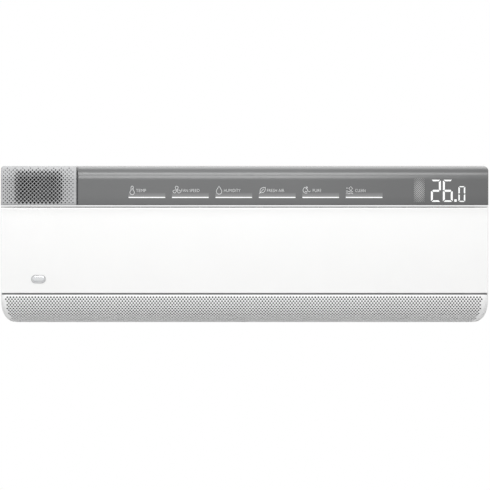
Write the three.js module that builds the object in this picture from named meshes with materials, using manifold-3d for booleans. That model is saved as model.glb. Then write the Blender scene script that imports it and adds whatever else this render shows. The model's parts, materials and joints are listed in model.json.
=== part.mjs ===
// Indoor unit of a split air conditioner with a fresh-air module, hung on a wall plate.
// Millimetres, +Z up, front towards -Y, +X to the right as seen from the front.
// The origin is the centre of the unit on the wall plane, at the back face of the mounting plate.

import * as THREE from "three";
import { mergeVertices } from "three/addons/utils/BufferGeometryUtils.js";
import Module from "manifold-3d";

const wasm = await Module();
wasm.setup();

// ---------------------------------------------------------------- driving dimensions

const WIDTH = 1000;
const HEIGHT = 320;
const DEPTH = 225;
const WALL = 3;
const SEAM = 0.5;

const HALF = WIDTH / 2;
const TOP = HEIGHT / 2;
const BOTTOM = -HEIGHT / 2;
const FRONT = -DEPTH;

// Casing behind the display strip, the front panel and the flap.
const CASE_BACK = -1;
const CASE_SETBACK = 5.8;
const CASE_FRONT = FRONT + CASE_SETBACK;
const COVER_SEAM_X = HALF - 28; // the end covers reach in to here
const STRIP_REAR = -178;
const STRIP_BOTTOM = 80.3;
const STRIP_BEND = { y: -197, z: 131, depth: 28, height: 29 }; // elliptical top front edge
const STRIP_SPLIT = -343.5; // seam between the fresh-air grille and the display panel
const SPLIT_GAP = 3;

// Front panel, with its hinge just behind its top edge.
const PANEL = { top: 74.2, bottom: -100.5, thick: 4 };
const PANEL_HINGE = { y: -219, z: 69.5 };
const HINGE_POCKET = { top: 76.4, bottom: 62, back: -211 };
const TRIM = { bottom: 76.5, top: 79.9 };

// Flap: a quarter round from the front down to the underside, turning about a low rear axis.
const FLAP = { y: -169, z: -104, radius: 56, thick: 3.5, rear: -110, half: HALF - 2 };
const FLAP_AXIS = { y: -112, z: -145 };
const FLAP_RECESS = { front: -130, rear: -96, top: -137 };
const CASE_ROUND = CASE_FRONT - FLAP.y; // negative: radius of the casing behind the flap
const CORNER = { wide: 34, high: 49, power: 2.4 }; // lower corners in the front view
const TOP_CORNER = 9;

// Air duct, in the plane of the end view.
const DUCT = { left: -338, right: 398, wall: 4 };
const FAN = { y: -108, z: -5, radius: 50, blades: 11, left: -333, right: 393 };
const DUCT_EXIT = { y: -121, z: -149.5 };
const FLOW_TILT = THREE.MathUtils.degToRad(40);
const LOUVER = { y: -133.6, z: -83.8, count: 6, pitch: 58, up: 14, down: 52, reach: 20 };
const LOUVER_LEFT_X = -305;
const LOUVER_RIGHT_X = 75;
const LINK_OFFSET = -13; // link pins, downstream of each louver's own axis
const VANE = { y: -176, z: -119, chord: 58, tilt: THREE.MathUtils.degToRad(23) };

// Heat exchanger slabs: outer corner, direction from it, and length, all in the end view.
const COIL = { left: -322, right: 377, thick: 22 };
const FRONT_TILT = THREE.MathUtils.degToRad(10.5); // front slab and filters lean back by this much
const LEAN = [Math.sin(FRONT_TILT), Math.cos(FRONT_TILT)];
const COIL_SLABS = {
  evaporator_front: { corner: [-204, -64], along: LEAN, length: 94 },
  evaporator_top: { corner: [-182, 46], along: [0.6, 0.8], length: 88 },
  evaporator_rear: { corner: [-92, 116], along: [0.6, -0.8], length: 76 },
};
const DRAIN_SPOUT = { y: -206, z: -80, outer: 6, bore: 4.2 };

// Filters, one on each side of the middle of the duct.
const FILTER = { left: -334, middle: 30, right: 394, gap: 0.5, thick: 3.5 };
const FILTER_BEND = { crown: 157.2, foot: -54, rear: -45 };
const TOP_GRILLE = { front: -168, rear: -40, bottom: 148, rim: 6 };

// Refrigerant pipes and their nuts, at the right end and in the pipe channel.
const GAS = { radius: 6.35, x: 423, y: -38, z: -112, coilZ: 74, endX: -70 };
const LIQUID = { radius: 3.2, x: 435, y: -22, z: -131, coilZ: 62, endX: -40 };

// Drives and electrics.
const FAN_MOTOR = { left: 408, right: 462, radius: 42, boss: 13 };
const FLAP_ARM = { x: HALF - 23, half: 3, eye: 6, bore: 3.5 };
const ELECTRICAL_BOX = { left: 406, right: 466, front: -212, back: -158, bottom: -60, top: 56, wall: 2 };
const MANUAL_BUTTON = { x: 436, z: -78, radius: 4 };

// Mounting plate and the hooks that the chassis hangs on.
const PLATE = { thick: 1.5, hookHalf: 20, hookDeep: 14.5 };
const HOOK_X = [-240, 240];

// Fresh-air module in the left end.
const BLOWER = { y: -125, z: 0, radius: 45, left: -424, right: -386, blades: 9, inlet: 34 };
const VOLUTE = { left: -466, right: -378, wall: 2.5, front: -208, top: 140 };
const CARTRIDGE = { left: -452, right: -363, front: -58, rear: -32, bottom: 40, lid: 157.5 };
const SPIGOT = { x: -420, z: -115, radius: 20, wall: 2.5, front: -84, back: -14 };

// Reach of a cutting or keeping block past everything it should pass.
const FAR = 300;

// ---------------------------------------------------------------- solids

function solidOf(geometry) {
  const bare = geometry.index ? geometry.toNonIndexed() : geometry.clone();
  bare.deleteAttribute("normal");
  bare.deleteAttribute("uv");
  const merged = mergeVertices(bare, 1e-4);
  return new wasm.Manifold(
    new wasm.Mesh({
      numProp: 3,
      vertProperties: merged.attributes.position.array,
      triVerts: new Uint32Array(merged.index.array),
    }),
  );
}

function geometryOf(solid) {
  const mesh = solid.getMesh();
  const geometry = new THREE.BufferGeometry();
  geometry.setAttribute("position", new THREE.BufferAttribute(mesh.vertProperties, 3));
  geometry.setIndex(new THREE.BufferAttribute(mesh.triVerts, 1));
  geometry.computeVertexNormals();
  return geometry;
}

function join(...solids) {
  return solids.reduce((whole, next) => whole.add(next));
}

function cut(solid, ...tools) {
  return tools.reduce((rest, tool) => rest.subtract(tool), solid);
}

// The two ends of a stretch of X on one side of the unit, in rising order.
function spanX(side, near, far) {
  return [side * near, side * far].sort((a, b) => a - b);
}

function shapeOf(points) {
  return new THREE.Shape(points.map(([u, v]) => new THREE.Vector2(u, v)));
}

// Extrudes a (y, z) outline along X.
function alongX(shape, x0, x1, curveSegments = 8) {
  const geometry = new THREE.ExtrudeGeometry(shape, { depth: x1 - x0, bevelEnabled: false, curveSegments });
  const turn = new THREE.Matrix4().makeBasis(
    new THREE.Vector3(0, 1, 0),
    new THREE.Vector3(0, 0, 1),
    new THREE.Vector3(1, 0, 0),
  );
  return solidOf(geometry.applyMatrix4(turn).translate(x0, 0, 0));
}

// Extrudes an (x, z) outline along Y.
function alongY(shape, y0, y1, curveSegments = 8) {
  const geometry = new THREE.ExtrudeGeometry(shape, { depth: y1 - y0, bevelEnabled: false, curveSegments });
  return solidOf(geometry.rotateX(Math.PI / 2).translate(0, y1, 0));
}

function block(x0, x1, y0, y1, z0, z1) {
  const geometry = new THREE.BoxGeometry(x1 - x0, y1 - y0, z1 - z0);
  return solidOf(geometry.translate((x0 + x1) / 2, (y0 + y1) / 2, (z0 + z1) / 2));
}

function rodX(y, z, radius, x0, x1, sides = 16) {
  const geometry = new THREE.CylinderGeometry(radius, radius, x1 - x0, sides);
  return solidOf(geometry.rotateZ(Math.PI / 2).translate((x0 + x1) / 2, y, z));
}

function rodY(x, z, radius, y0, y1, sides = 16) {
  const geometry = new THREE.CylinderGeometry(radius, radius, y1 - y0, sides);
  return solidOf(geometry.translate(x, (y0 + y1) / 2, z));
}

function rodZ(x, y, radius, z0, z1, sides = 8) {
  const geometry = new THREE.CylinderGeometry(radius, radius, z1 - z0, sides);
  return solidOf(geometry.rotateX(Math.PI / 2).translate(x, y, (z0 + z1) / 2));
}

// ---------------------------------------------------------------- shared outlines

// End view of the casing, drawn in by `inset`. An inset outline runs out of the open back.
function casingOutline(inset) {
  const back = inset > 0 ? 5 : CASE_BACK;
  const underStrip = STRIP_BEND.z + STRIP_BEND.height - CASE_SETBACK - inset;
  const round = -CASE_ROUND - inset;
  const chamfer = -34;
  const s = new THREE.Shape();
  s.moveTo(back, TOP - inset);
  s.lineTo(STRIP_REAR + SEAM + inset, TOP - inset);
  s.lineTo(STRIP_REAR + SEAM + inset, underStrip);
  s.lineTo(STRIP_BEND.y, underStrip);
  const bendDepth = STRIP_BEND.y - CASE_FRONT - inset;
  s.absellipse(STRIP_BEND.y, STRIP_BEND.z, bendDepth, underStrip - STRIP_BEND.z, Math.PI / 2, Math.PI, false);
  s.lineTo(CASE_FRONT + inset, HINGE_POCKET.top + inset);
  s.lineTo(HINGE_POCKET.back + inset, HINGE_POCKET.top + inset);
  s.lineTo(HINGE_POCKET.back + inset, HINGE_POCKET.bottom - inset);
  s.lineTo(CASE_FRONT + inset, HINGE_POCKET.bottom - inset);
  s.absarc(FLAP.y, FLAP.z, round, Math.PI, 1.5 * Math.PI, false);
  s.lineTo(FLAP_RECESS.front - inset, FLAP.z - round);
  s.lineTo(FLAP_RECESS.front - inset, FLAP_RECESS.top + inset);
  s.lineTo(FLAP_RECESS.rear + inset, FLAP_RECESS.top + inset);
  s.lineTo(FLAP_RECESS.rear + inset, BOTTOM + inset);
  s.lineTo(chamfer - (Math.SQRT2 - 1) * inset, BOTTOM + inset);
  s.lineTo(back, back + BOTTOM - chamfer + Math.SQRT2 * inset);
  s.closePath();
  return s;
}

// Lower corner of the front view, as points from the side down to the underside.
function cornerPoints(half, inset, steps = 8) {
  const wide = CORNER.wide - inset;
  const high = CORNER.high - inset;
  return Array.from({ length: steps + 1 }, (_, i) => {
    const t = (i / steps) * (Math.PI / 2);
    const across = Math.pow(Math.max(Math.cos(t), 0), 2 / CORNER.power);
    const down = Math.pow(Math.sin(t), 2 / CORNER.power);
    return [half - inset - wide * (1 - across), BOTTOM + CORNER.high - high * down];
  });
}

// Front view of a piece as wide as 2 * half, from `top` down to the underside.
function frontOutline(half, inset = 0) {
  const side = half - inset;
  const top = TOP - inset;
  const r = TOP_CORNER - inset;
  const right = cornerPoints(half, inset);
  const s = new THREE.Shape();
  s.moveTo(-side + r, top);
  s.lineTo(side - r, top);
  s.absarc(side - r, top - r, r, Math.PI / 2, 0, true);
  right.forEach(([x, z]) => s.lineTo(x, z));
  right.reverse().forEach(([x, z]) => s.lineTo(-x, z));
  s.absarc(-side + r, top - r, r, Math.PI, Math.PI / 2, true);
  return s;
}

// End view of the display strip, filled, drawn in by `inset`.
function stripOutline(inset) {
  const s = new THREE.Shape();
  s.moveTo(STRIP_REAR, TOP - inset);
  s.absellipse(STRIP_BEND.y, STRIP_BEND.z, STRIP_BEND.depth - inset, STRIP_BEND.height - inset,
    Math.PI / 2, Math.PI, false);
  s.lineTo(FRONT + inset, STRIP_BOTTOM - inset);
  s.lineTo(STRIP_REAR, STRIP_BOTTOM - inset);
  s.closePath();
  return s;
}

// Wall of the fan scroll and the lower duct, as the curve that faces the fan.
function scrollCurve() {
  const through = [[-62, 40], [-50, 20], [-45, -5], [-46, -30], [-52, -60], [-62, -88], [-80, -115],
    [-100, -135], [DUCT_EXIT.y, DUCT_EXIT.z]];
  return new THREE.SplineCurve(through.map(([y, z]) => new THREE.Vector2(y, z)));
}

// A band of constant thickness on the right-hand side of a curve.
function bandShape(curve, steps, thick) {
  const near = [];
  const far = [];
  for (let i = 0; i <= steps; i++) {
    const p = curve.getPoint(i / steps);
    const t = curve.getTangent(i / steps);
    near.push([p.x, p.y]);
    far.unshift([p.x - t.y * thick, p.y + t.x * thick]);
  }
  return shapeOf([...near, ...far]);
}

// ---------------------------------------------------------------- casing

const casing = (() => {
  const outerView = alongY(frontOutline(HALF - SEAM), -FAR, 10);
  const innerView = alongY(frontOutline(HALF - SEAM, WALL), -FAR, 10);
  const outer = alongX(casingOutline(0), -HALF, HALF, 4).intersect(outerView);
  const inner = alongX(casingOutline(WALL), -HALF + WALL, HALF - WALL, 4).intersect(innerView);
  return cut(outer, inner);
})();

// The end cover takes the whole end of the casing and the cheek beside the outlet.
function endCover(side, bulkhead) {
  const end = block(...spanX(side, COVER_SEAM_X, HALF + 1), -FAR, 20, -FAR, FAR);
  const cheek = block(...spanX(side, Math.abs(bulkhead) + SEAM, HALF + 1),
    -FAR, FLAP_RECESS.front + 1, -FAR, FLAP.z + 4);
  return casing.intersect(join(end, cheek));
}

function leftEndCover() {
  const ear = block(-HALF + 13, -HALF + 16, FLAP_AXIS.y - 6, FLAP_AXIS.y + 6, FLAP_AXIS.z - 6,
    FLAP_RECESS.top + 1);
  const pin = rodX(FLAP_AXIS.y, FLAP_AXIS.z, 3, -HALF + 14, -COVER_SEAM_X, 12);
  return join(endCover(-1, DUCT.left - DUCT.wall), ear, pin, hingeCradle(-1));
}

function rightEndCover() {
  return join(endCover(1, DUCT.right + DUCT.wall), hingeCradle(1));
}

// Open-fronted cradle that the front panel's hinge pin snaps into.
function hingeCradle(side) {
  const { y, z } = PANEL_HINGE;
  const from = THREE.MathUtils.degToRad(-105);
  const to = THREE.MathUtils.degToRad(42);
  const s = new THREE.Shape();
  s.absarc(y, z, 5.4, from, to, false);
  s.absarc(y, z, 3.5, to, from, true);
  const span = spanX(side, HALF - 27, HALF - 22);
  const stem = block(...span, y + 4, HINGE_POCKET.back + 1, z - 3, z + 3);
  return join(alongX(s, ...span, 5), stem);
}

function topCover() {
  const deckBottom = TOP - 20;
  const edge = COVER_SEAM_X - SEAM;
  const deck = casing.intersect(block(-edge, edge, STRIP_REAR, 5, deckBottom, FAR));
  const filterBay = block(DUCT.left + 1.5, DUCT.right - 1.5, -FAR, FILTER_BEND.rear + 1, deckBottom, FAR);
  const cartridgeBay = block(CARTRIDGE.left - 4, CARTRIDGE.right + 4, CARTRIDGE.front - 3, CARTRIDGE.rear + 3,
    deckBottom, FAR);
  return cut(deck, filterBay, cartridgeBay);
}

// Underside cover, with a roof and a riser over the flap's rear edge on either side of the duct.
function bottomCover() {
  const edge = COVER_SEAM_X - SEAM;
  const leftOfDuct = DUCT.left - DUCT.wall - SEAM;
  const rightOfDuct = DUCT.right + DUCT.wall + SEAM;
  const flapMotorX = edge - 28.5;
  const roof = { front: FLAP_RECESS.front + 1.5, bottom: FLAP_RECESS.top - 1, top: FLAP_RECESS.top + 4 };
  const riser = { front: FLAP_RECESS.rear - 1, rear: FLAP_RECESS.rear + 6, top: FLAP_RECESS.top + 3 };
  const flat = block(-edge, edge, FLAP_RECESS.rear - 0.2, 5, -FAR, BOTTOM + 20);
  const slope = block(-edge, edge, -60, 5, -FAR, BOTTOM + 40);
  const roofs = [[-edge, leftOfDuct], [rightOfDuct, edge]].map(([x0, x1]) =>
    block(x0, x1, roof.front, FLAP_RECESS.rear, roof.bottom, roof.top));
  const risers = [[-edge, leftOfDuct], [rightOfDuct, flapMotorX]].map(([x0, x1]) =>
    block(x0, x1, riser.front, riser.rear, -FAR, riser.top));
  const flapMotorPocket = block(flapMotorX, edge + 1, -132, -92, -155, -125);
  const louverMotorPockets = [LOUVER_LEFT_X, LOUVER_RIGHT_X].map((x) =>
    block(x - 18, x + 18, -100, -90, -152, -130));
  const cover = casing.intersect(join(flat, slope, ...roofs, ...risers));
  return cut(cover, flapMotorPocket, ...louverMotorPockets);
}

// Inner front cover, with a window for the filters.
function frontFrame() {
  const back = CASE_FRONT + WALL;
  const edge = COVER_SEAM_X - SEAM;
  const plate = block(-edge, edge, CASE_FRONT, back, -99, HINGE_POCKET.bottom - SEAM);
  const windows = [[FILTER.left, FILTER.middle - 6], [FILTER.middle + 6, FILTER.right]].map(([x0, x1]) =>
    block(x0, x1, FRONT, -210, -88, 56));
  const button = rodY(MANUAL_BUTTON.x, MANUAL_BUTTON.z, MANUAL_BUTTON.radius + 0.6, FRONT, -210, 12);
  return cut(plate, ...windows, button);
}

// Carrier behind the display strip and the fresh-air grille.
function displayCarrier() {
  const edge = COVER_SEAM_X - SEAM;
  const wall = casing.intersect(block(-edge, edge, -FAR, STRIP_REAR - 1, HINGE_POCKET.top, 156));
  const airWindow = block(VOLUTE.left, VOLUTE.right, -FAR, -200, 85, VOLUTE.top - 2);
  return cut(wall, airWindow);
}

// ---------------------------------------------------------------- display strip, panel and flap

const frontView = alongY(frontOutline(HALF), -FAR, 10);

function stripShell(x0, x1) {
  const outer = alongX(stripOutline(0), x0, x1, 6).intersect(frontView);
  const hollow = alongX(stripOutline(WALL), Math.max(x0 - 1, -HALF + WALL), Math.min(x1 + 1, HALF - WALL), 6);
  const behind = alongX(casingOutline(-0.7), -HALF - 5, HALF + 5, 4);
  return cut(outer, hollow, behind);
}

function accentTrim() {
  return block(-HALF + 0.5, HALF - 0.5, FRONT, CASE_FRONT - 0.6, TRIM.bottom, TRIM.top);
}

function frontPanel() {
  const bend = 3;
  const s = new THREE.Shape();
  s.moveTo(FRONT + PANEL.thick, PANEL.top);
  s.lineTo(FRONT + bend, PANEL.top);
  s.absarc(FRONT + bend, PANEL.top - bend, bend, Math.PI / 2, Math.PI, false);
  s.lineTo(FRONT, PANEL.bottom + bend);
  s.absarc(FRONT + bend, PANEL.bottom + bend, bend, Math.PI, 1.5 * Math.PI, false);
  s.lineTo(FRONT + PANEL.thick, PANEL.bottom);
  const sheet = alongX(s, -HALF + 0.5, HALF - 0.5, 4);
  const arms = [-1, 1].flatMap((side) => {
    const { y, z } = PANEL_HINGE;
    const arm = block(...spanX(side, HALF - 41, HALF - 35), FRONT + PANEL.thick - 1, y, z - 4, z + 4);
    const pin = rodX(y, z, 3.2, ...spanX(side, HALF - 41, HALF - 20), 12);
    return [arm, pin];
  });
  return join(sheet, ...arms);
}

function flapOutline(inset) {
  const s = new THREE.Shape();
  const r = FLAP.radius - inset;
  s.moveTo(FLAP.y - r, FLAP.z);
  s.absarc(FLAP.y, FLAP.z, r, Math.PI, 1.5 * Math.PI, false);
  s.lineTo(FLAP.rear + inset, FLAP.z - r);
  s.lineTo(FLAP.rear + inset, FLAP.z + inset);
  s.closePath();
  return s;
}

function airFlap() {
  const outer = alongX(flapOutline(0), -FLAP.half, FLAP.half, 8);
  const inner = alongX(flapOutline(FLAP.thick), -FLAP.half - 1, FLAP.half + 1, 8);
  const view = alongY(frontOutline(FLAP.half), -FAR, 10);
  const shell = cut(outer, inner).intersect(view);
  const arms = [-1, 1].map((side) => {
    const x0 = side * FLAP_ARM.x - FLAP_ARM.half;
    const x1 = side * FLAP_ARM.x + FLAP_ARM.half;
    const web = alongX(shapeOf([[-126, BOTTOM + 2], [-108, BOTTOM + 2], [-106.5, FLAP_AXIS.z - 2],
      [-117, FLAP_AXIS.z]]), x0, x1);
    return join(web, rodX(FLAP_AXIS.y, FLAP_AXIS.z, FLAP_ARM.eye, x0, x1, 16));
  });
  const bores = rodX(FLAP_AXIS.y, FLAP_AXIS.z, FLAP_ARM.bore, -HALF, HALF, 12);
  const quarter = shell.intersect(block(-HALF, HALF, -FAR, FLAP.rear, -FAR, FLAP.z));
  return join(quarter, cut(join(...arms), bores));
}

// ---------------------------------------------------------------- chassis and wall plate

function bulkheadShape() {
  const s = new THREE.Shape();
  s.moveTo(-11, 40);
  s.lineTo(-62, 62);
  s.lineTo(-108, 84);
  s.lineTo(-150, 36);
  s.lineTo(-168, -62);
  s.lineTo(-215, -95);
  s.lineTo(-215, -99.6);
  s.lineTo(CASE_FRONT + 0.4, -99.6);
  s.absarc(FLAP.y, FLAP.z, -CASE_ROUND - 0.4, Math.PI, 1.5 * Math.PI, false);
  s.lineTo(-133, FLAP.z + CASE_ROUND + 0.4);
  s.lineTo(DUCT_EXIT.y, DUCT_EXIT.z);
  s.lineTo(-63, -95);
  s.lineTo(-11, -92);
  return s;
}

function rearChassis() {
  const edge = COVER_SEAM_X - 4;
  const shell = alongX(shapeOf([[-8, 150], [-8, -92], [-62, -92], [-62, -156], [-65, -156], [-65, -95],
    [-65, -89], [-11, -89], [-11, 150]]), -edge, edge);
  const backWings = [-1, 1].map((side) => block(...spanX(side, edge - 1, HALF - 5), -11, -8, -92, 146));
  const scroll = alongX(bandShape(scrollCurve(), 16, -WALL), DUCT.left, DUCT.right);
  const trough = block(DUCT.left, DUCT.right, -62, -10, 37, 40);
  const bulkheads = [DUCT.left - DUCT.wall, DUCT.right].map((x) => alongX(bulkheadShape(), x, x + DUCT.wall));
  const ribs = [-450, -410, 410, 450].map((x) => block(x - 1.5, x + 1.5, -8.5, -1, -85, 140));
  const flapMotorBracket = block(446, 449.5, -125, -64, -143, -120);
  const firewall = block(DUCT.right, DUCT.right + DUCT.wall, -200, -140, -58, 52);
  const pocket = { left: CARTRIDGE.left - 7, right: CARTRIDGE.right + 7, wall: 2.5 };
  const cartridgeSlot = cut(block(pocket.left, pocket.right, -63, -9, 32, 145),
    block(pocket.left + pocket.wall, pocket.right - pocket.wall, -60.5, -10, 35, 150));
  const blowerPosts = [-450, -398].map((x) => block(x, x + 8, -68.2, -9, -26, -18));
  const body = join(shell, ...backWings, scroll, trough, ...bulkheads, ...ribs, flapMotorBracket, firewall,
    cartridgeSlot, ...blowerPosts);
  const hookSlots = HOOK_X.map((x) => block(x - 23, x + 23, -12, -7, 113, 121));
  const axleBore = rodX(FAN.y, FAN.z, 8, DUCT.left - 6, DUCT.left + 2, 12);
  const motorBore = rodX(FAN.y, FAN.z, 17, DUCT.right - 2, DUCT.right + 6, 16);
  const vaneBores = rodX(VANE.y, VANE.z, 4, DUCT.left - 10, DUCT.right + 10, 12);
  const pipePass = block(404, 444, -60, -13, -97, -87);
  const spigotBore = rodY(SPIGOT.x, SPIGOT.z, SPIGOT.radius + 1, -70, -58, 20);
  const behindScroll = block(-350, 410, -38, -18, -70, 20);
  return cut(body, behindScroll, ...hookSlots, axleBore, motorBore, vaneBores, pipePass, spigotBore,
    ...louverBores());
}

// Holes in the lower duct wall for the louvers' own pins.
function louverBores() {
  const places = [...louverPlaces(LOUVER_LEFT_X), ...louverPlaces(LOUVER_RIGHT_X)];
  return places.map((x) => {
    const geometry = new THREE.CylinderGeometry(3.8, 3.8, 40, 8).rotateX(Math.PI / 2);
    geometry.translate(0, 0, -LOUVER.down - 16).rotateX(FLOW_TILT).translate(x, LOUVER.y, LOUVER.z);
    return solidOf(geometry);
  });
}

function mountingPlate() {
  const outline = shapeOf([[-380, -62], [-300, -62], [-285, -20], [285, -20], [300, -62], [380, -62],
    [380, 108], [365, 122], [-365, 122], [-380, 108]]);
  const holes = [-336, 0, 336].flatMap((x) => [20, 95].map((z) => slot(x, z)));
  const windows = [-265, -95, 95, 265].map((x) => block(x - 50, x + 50, -3, 2, 40, 75));
  const sheet = cut(alongY(outline, -PLATE.thick, 0), ...holes, ...windows);
  const hooks = HOOK_X.map((x) => {
    const x0 = x - PLATE.hookHalf;
    const x1 = x + PLATE.hookHalf;
    const shelf = block(x0, x1, -PLATE.hookDeep, -1, 115.5, 117.5);
    const lip = block(x0, x1, -PLATE.hookDeep, -PLATE.hookDeep + PLATE.thick, 116.5, 127);
    return join(shelf, lip);
  });
  return join(sheet, ...hooks);
}

// Screw slot through the mounting plate.
function slot(x, z) {
  const r = 3;
  const ends = [x - r, x + r].map((end) => rodY(end, z, r, -3, 2, 10));
  return join(...ends, block(x - r, x + r, -3, 2, z - r, z + r));
}

// ---------------------------------------------------------------- air path

function topGrille() {
  const x0 = DUCT.left - 1;
  const x1 = DUCT.right + 1;
  const { front, rear, bottom, rim: edge } = TOP_GRILLE;
  const frame = block(x0, x1, front, rear, bottom, TOP - WALL - 0.4);
  const opening = block(x0 + edge, x1 - edge, front + 5, rear - 7, -FAR, FAR);
  const rim = cut(frame, opening);
  const ribs = [];
  for (let y = -148; y < -60; y += 20) {
    ribs.push(block(x0 + edge - 1, x1 - edge + 1, y, y + 2.4, bottom + 0.5, bottom + 7));
  }
  for (let x = -155; x < 390; x += 184) {
    ribs.push(block(x, x + 3, front + 4, rear - 6, bottom + 1, bottom + 6));
  }
  return join(rim, ...ribs);
}

// Filter screen: a leaning leg in front of the coil and a flat leg over the intake.
function filterScreen(x0, x1) {
  const lean = Math.tan(FRONT_TILT);
  const across = FILTER.thick / Math.cos(FRONT_TILT);
  const { crown, foot, rear } = FILTER_BEND;
  const inside = (z) => -171.6 - (crown - z) * lean;
  const topLeg = [[inside(crown), crown], [rear, crown], [rear, TOP], [inside(TOP) - across, TOP]];
  const frontLeg = [[inside(foot) - across, foot], [inside(foot), foot]];
  return alongX(shapeOf([...topLeg, ...frontLeg]), x0, x1);
}

function coilSlab(corner, along, length) {
  const [ay, az] = along;
  const normal = [az, -ay]; // from the outer face to the inner one
  const [y, z] = corner;
  const inner = [y + normal[0] * COIL.thick, z + normal[1] * COIL.thick];
  return alongX(shapeOf([corner, [y + ay * length, z + az * length],
    [inner[0] + ay * length, inner[1] + az * length], inner]), COIL.left, COIL.right);
}

// Sheet-metal end plate that all three slabs are flanged to.
function coilEndPlate(x) {
  const plate = alongX(shapeOf([[-206, -68], [-188, 30], [-186, 46], [-128, 121], [-95, 121], [-46, 56],
    [-66, 42], [-110, 96], [-160, 33], [-180, -70]]), x, x + 1.6);
  const centre = block(x - 5, x + 5, -112, -104, 97, 116);
  return cut(plate, centre);
}

function drainPan() {
  const trough = alongX(shapeOf([[-146, -57], [-213, -99], [-215.7, -99], [-215.7, -61], [-212.8, -61],
    [-212.8, -95], [-173, -70], [-173, -58], [-170.5, -58], [-170.5, -68.3], [-146.5, -53.3]]),
    DUCT.left + SEAM, DUCT.right - SEAM);
  const { y, z, outer, bore } = DRAIN_SPOUT;
  const spout = rodX(y, z, outer, DUCT.right - 3, DUCT.right + 26, 12);
  const drain = rodX(y, z, bore, DUCT.right - 10, DUCT.right + 30, 12);
  const walls = [DUCT.left + SEAM, DUCT.right - SEAM - 2.5].map((x) => drainEndWall(x));
  return cut(join(trough, spout, ...walls), drain);
}

function drainEndWall(x) {
  const outline = [[-171, -59], [-215.7, -61], [-215.7, -98.5], [-213, -98.8], [-171, -71]];
  return alongX(shapeOf(outline), x, x + 2.5);
}

function fanBlade(angle) {
  const points = [[37, 0], [43, 5], [49.6, 6.6], [49.6, 5], [43.4, 3], [38.6, 0]];
  const turned = points.map(([r, side]) => {
    const a = angle + side / r;
    return [FAN.y + r * Math.cos(a), FAN.z + r * Math.sin(a)];
  });
  return alongX(shapeOf(turned), FAN.left + 1, FAN.right - 1);
}

function ringX(y, z, outer, inner, x0, x1, sides) {
  return cut(rodX(y, z, outer, x0, x1, sides), rodX(y, z, inner, x0 - 1, x1 + 1, sides));
}

function crossFlowFan() {
  const blades = Array.from({ length: FAN.blades }, (_, i) => fanBlade((i / FAN.blades) * 2 * Math.PI));
  const span = (FAN.right - FAN.left - 2) / 3;
  const rings = [1, 2].map((i) => {
    const x = FAN.left + i * span;
    return ringX(FAN.y, FAN.z, FAN.radius, 36.5, x, x + 2, 20);
  });
  const leftDisc = rodX(FAN.y, FAN.z, FAN.radius, FAN.left, FAN.left + 2, 20);
  const rightDisc = rodX(FAN.y, FAN.z, FAN.radius, FAN.right - 2, FAN.right, 20);
  const stub = rodX(FAN.y, FAN.z, 4, FAN.left - 18, FAN.left + 1, 12);
  const hub = rodX(FAN.y, FAN.z, 13, FAN.right - 26, FAN.right - 1, 16);
  const bore = rodX(FAN.y, FAN.z, 4.4, FAN.right - 27, FAN.right + 1, 12);
  return cut(join(leftDisc, rightDisc, ...rings, ...blades, stub, hub), bore);
}

// Curved blade that steers the air up and down, drawn about its own axis.
function airVane() {
  const half = VANE.chord / 2;
  const over = [[-half, -2.2], [-half * 0.5, 2.2], [0, 3.6], [half * 0.5, 2.8], [half, -0.4]];
  const under = [[half - 1, -2.2], [half * 0.5, 0.2], [0, 0.8], [-half * 0.5, -0.6], [-half + 1, -4]];
  const blade = alongX(shapeOf([...over, ...under]), DUCT.left + 6, DUCT.right - 6);
  const pins = [DUCT.left - 3, DUCT.right - 7].map((x) => rodX(0, 0, 3.2, x, x + 10, 12));
  return join(blade, ...pins);
}

function louverPlaces(first) {
  return Array.from({ length: LOUVER.count }, (_, i) => first + i * LOUVER.pitch);
}

// Upright louver, drawn about its own axis: local Z points away from the duct's lower wall.
function louverFin() {
  const s = new THREE.Shape();
  s.moveTo(LOUVER.reach, -LOUVER.down);
  s.lineTo(LOUVER.reach, LOUVER.up - 12);
  s.quadraticCurveTo(LOUVER.reach, LOUVER.up, LOUVER.reach - 12, LOUVER.up);
  s.lineTo(-LOUVER.reach, LOUVER.up);
  s.lineTo(-LOUVER.reach, -LOUVER.down + 14);
  s.quadraticCurveTo(-LOUVER.reach, -LOUVER.down, -LOUVER.reach + 14, -LOUVER.down);
  const plate = alongX(s, -0.8, 0.8, 2);
  const pin = rodZ(0, 0, 3, -LOUVER.down - 12, -LOUVER.down, 8);
  const linkPin = rodZ(0, LINK_OFFSET, 1.5, LOUVER.up - 1, LOUVER.up + 5.5, 6);
  return join(plate, pin, linkPin);
}

// Bar across the tops of one group of louvers, drawn about its first pin.
function linkBar() {
  const length = (LOUVER.count - 1) * LOUVER.pitch;
  const bar = block(-6, length + 6, -3.5, 3.5, LOUVER.up + 1, LOUVER.up + 3);
  const holes = Array.from({ length: LOUVER.count }, (_, i) =>
    rodZ(i * LOUVER.pitch, 0, 2.2, LOUVER.up - 2, LOUVER.up + 6, 6));
  return cut(bar, ...holes);
}

// ---------------------------------------------------------------- drives

function stepperMotor(length) {
  return rodX(0, 0, 10, 0, length, 16);
}

function flapMotor() {
  const lug = block(0, 1.2, -3.5, 3.5, 5, 17);
  const shaft = rodX(0, 0, 2.6, 1, 30, 10);
  return join(stepperMotor(17), lug, shaft);
}

function vaneMotor() {
  const lug = block(0, 1.2, -16, 16, -3.5, 3.5);
  return join(stepperMotor(15), lug);
}

// Louver motor, drawn about the louver's own axis below the duct wall.
function louverMotor() {
  const can = rodZ(0, 0, 10.5, -15, 0, 14);
  const lug = block(-16, 16, -3.5, 3.5, -1.2, 0);
  return join(can, lug);
}

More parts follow.
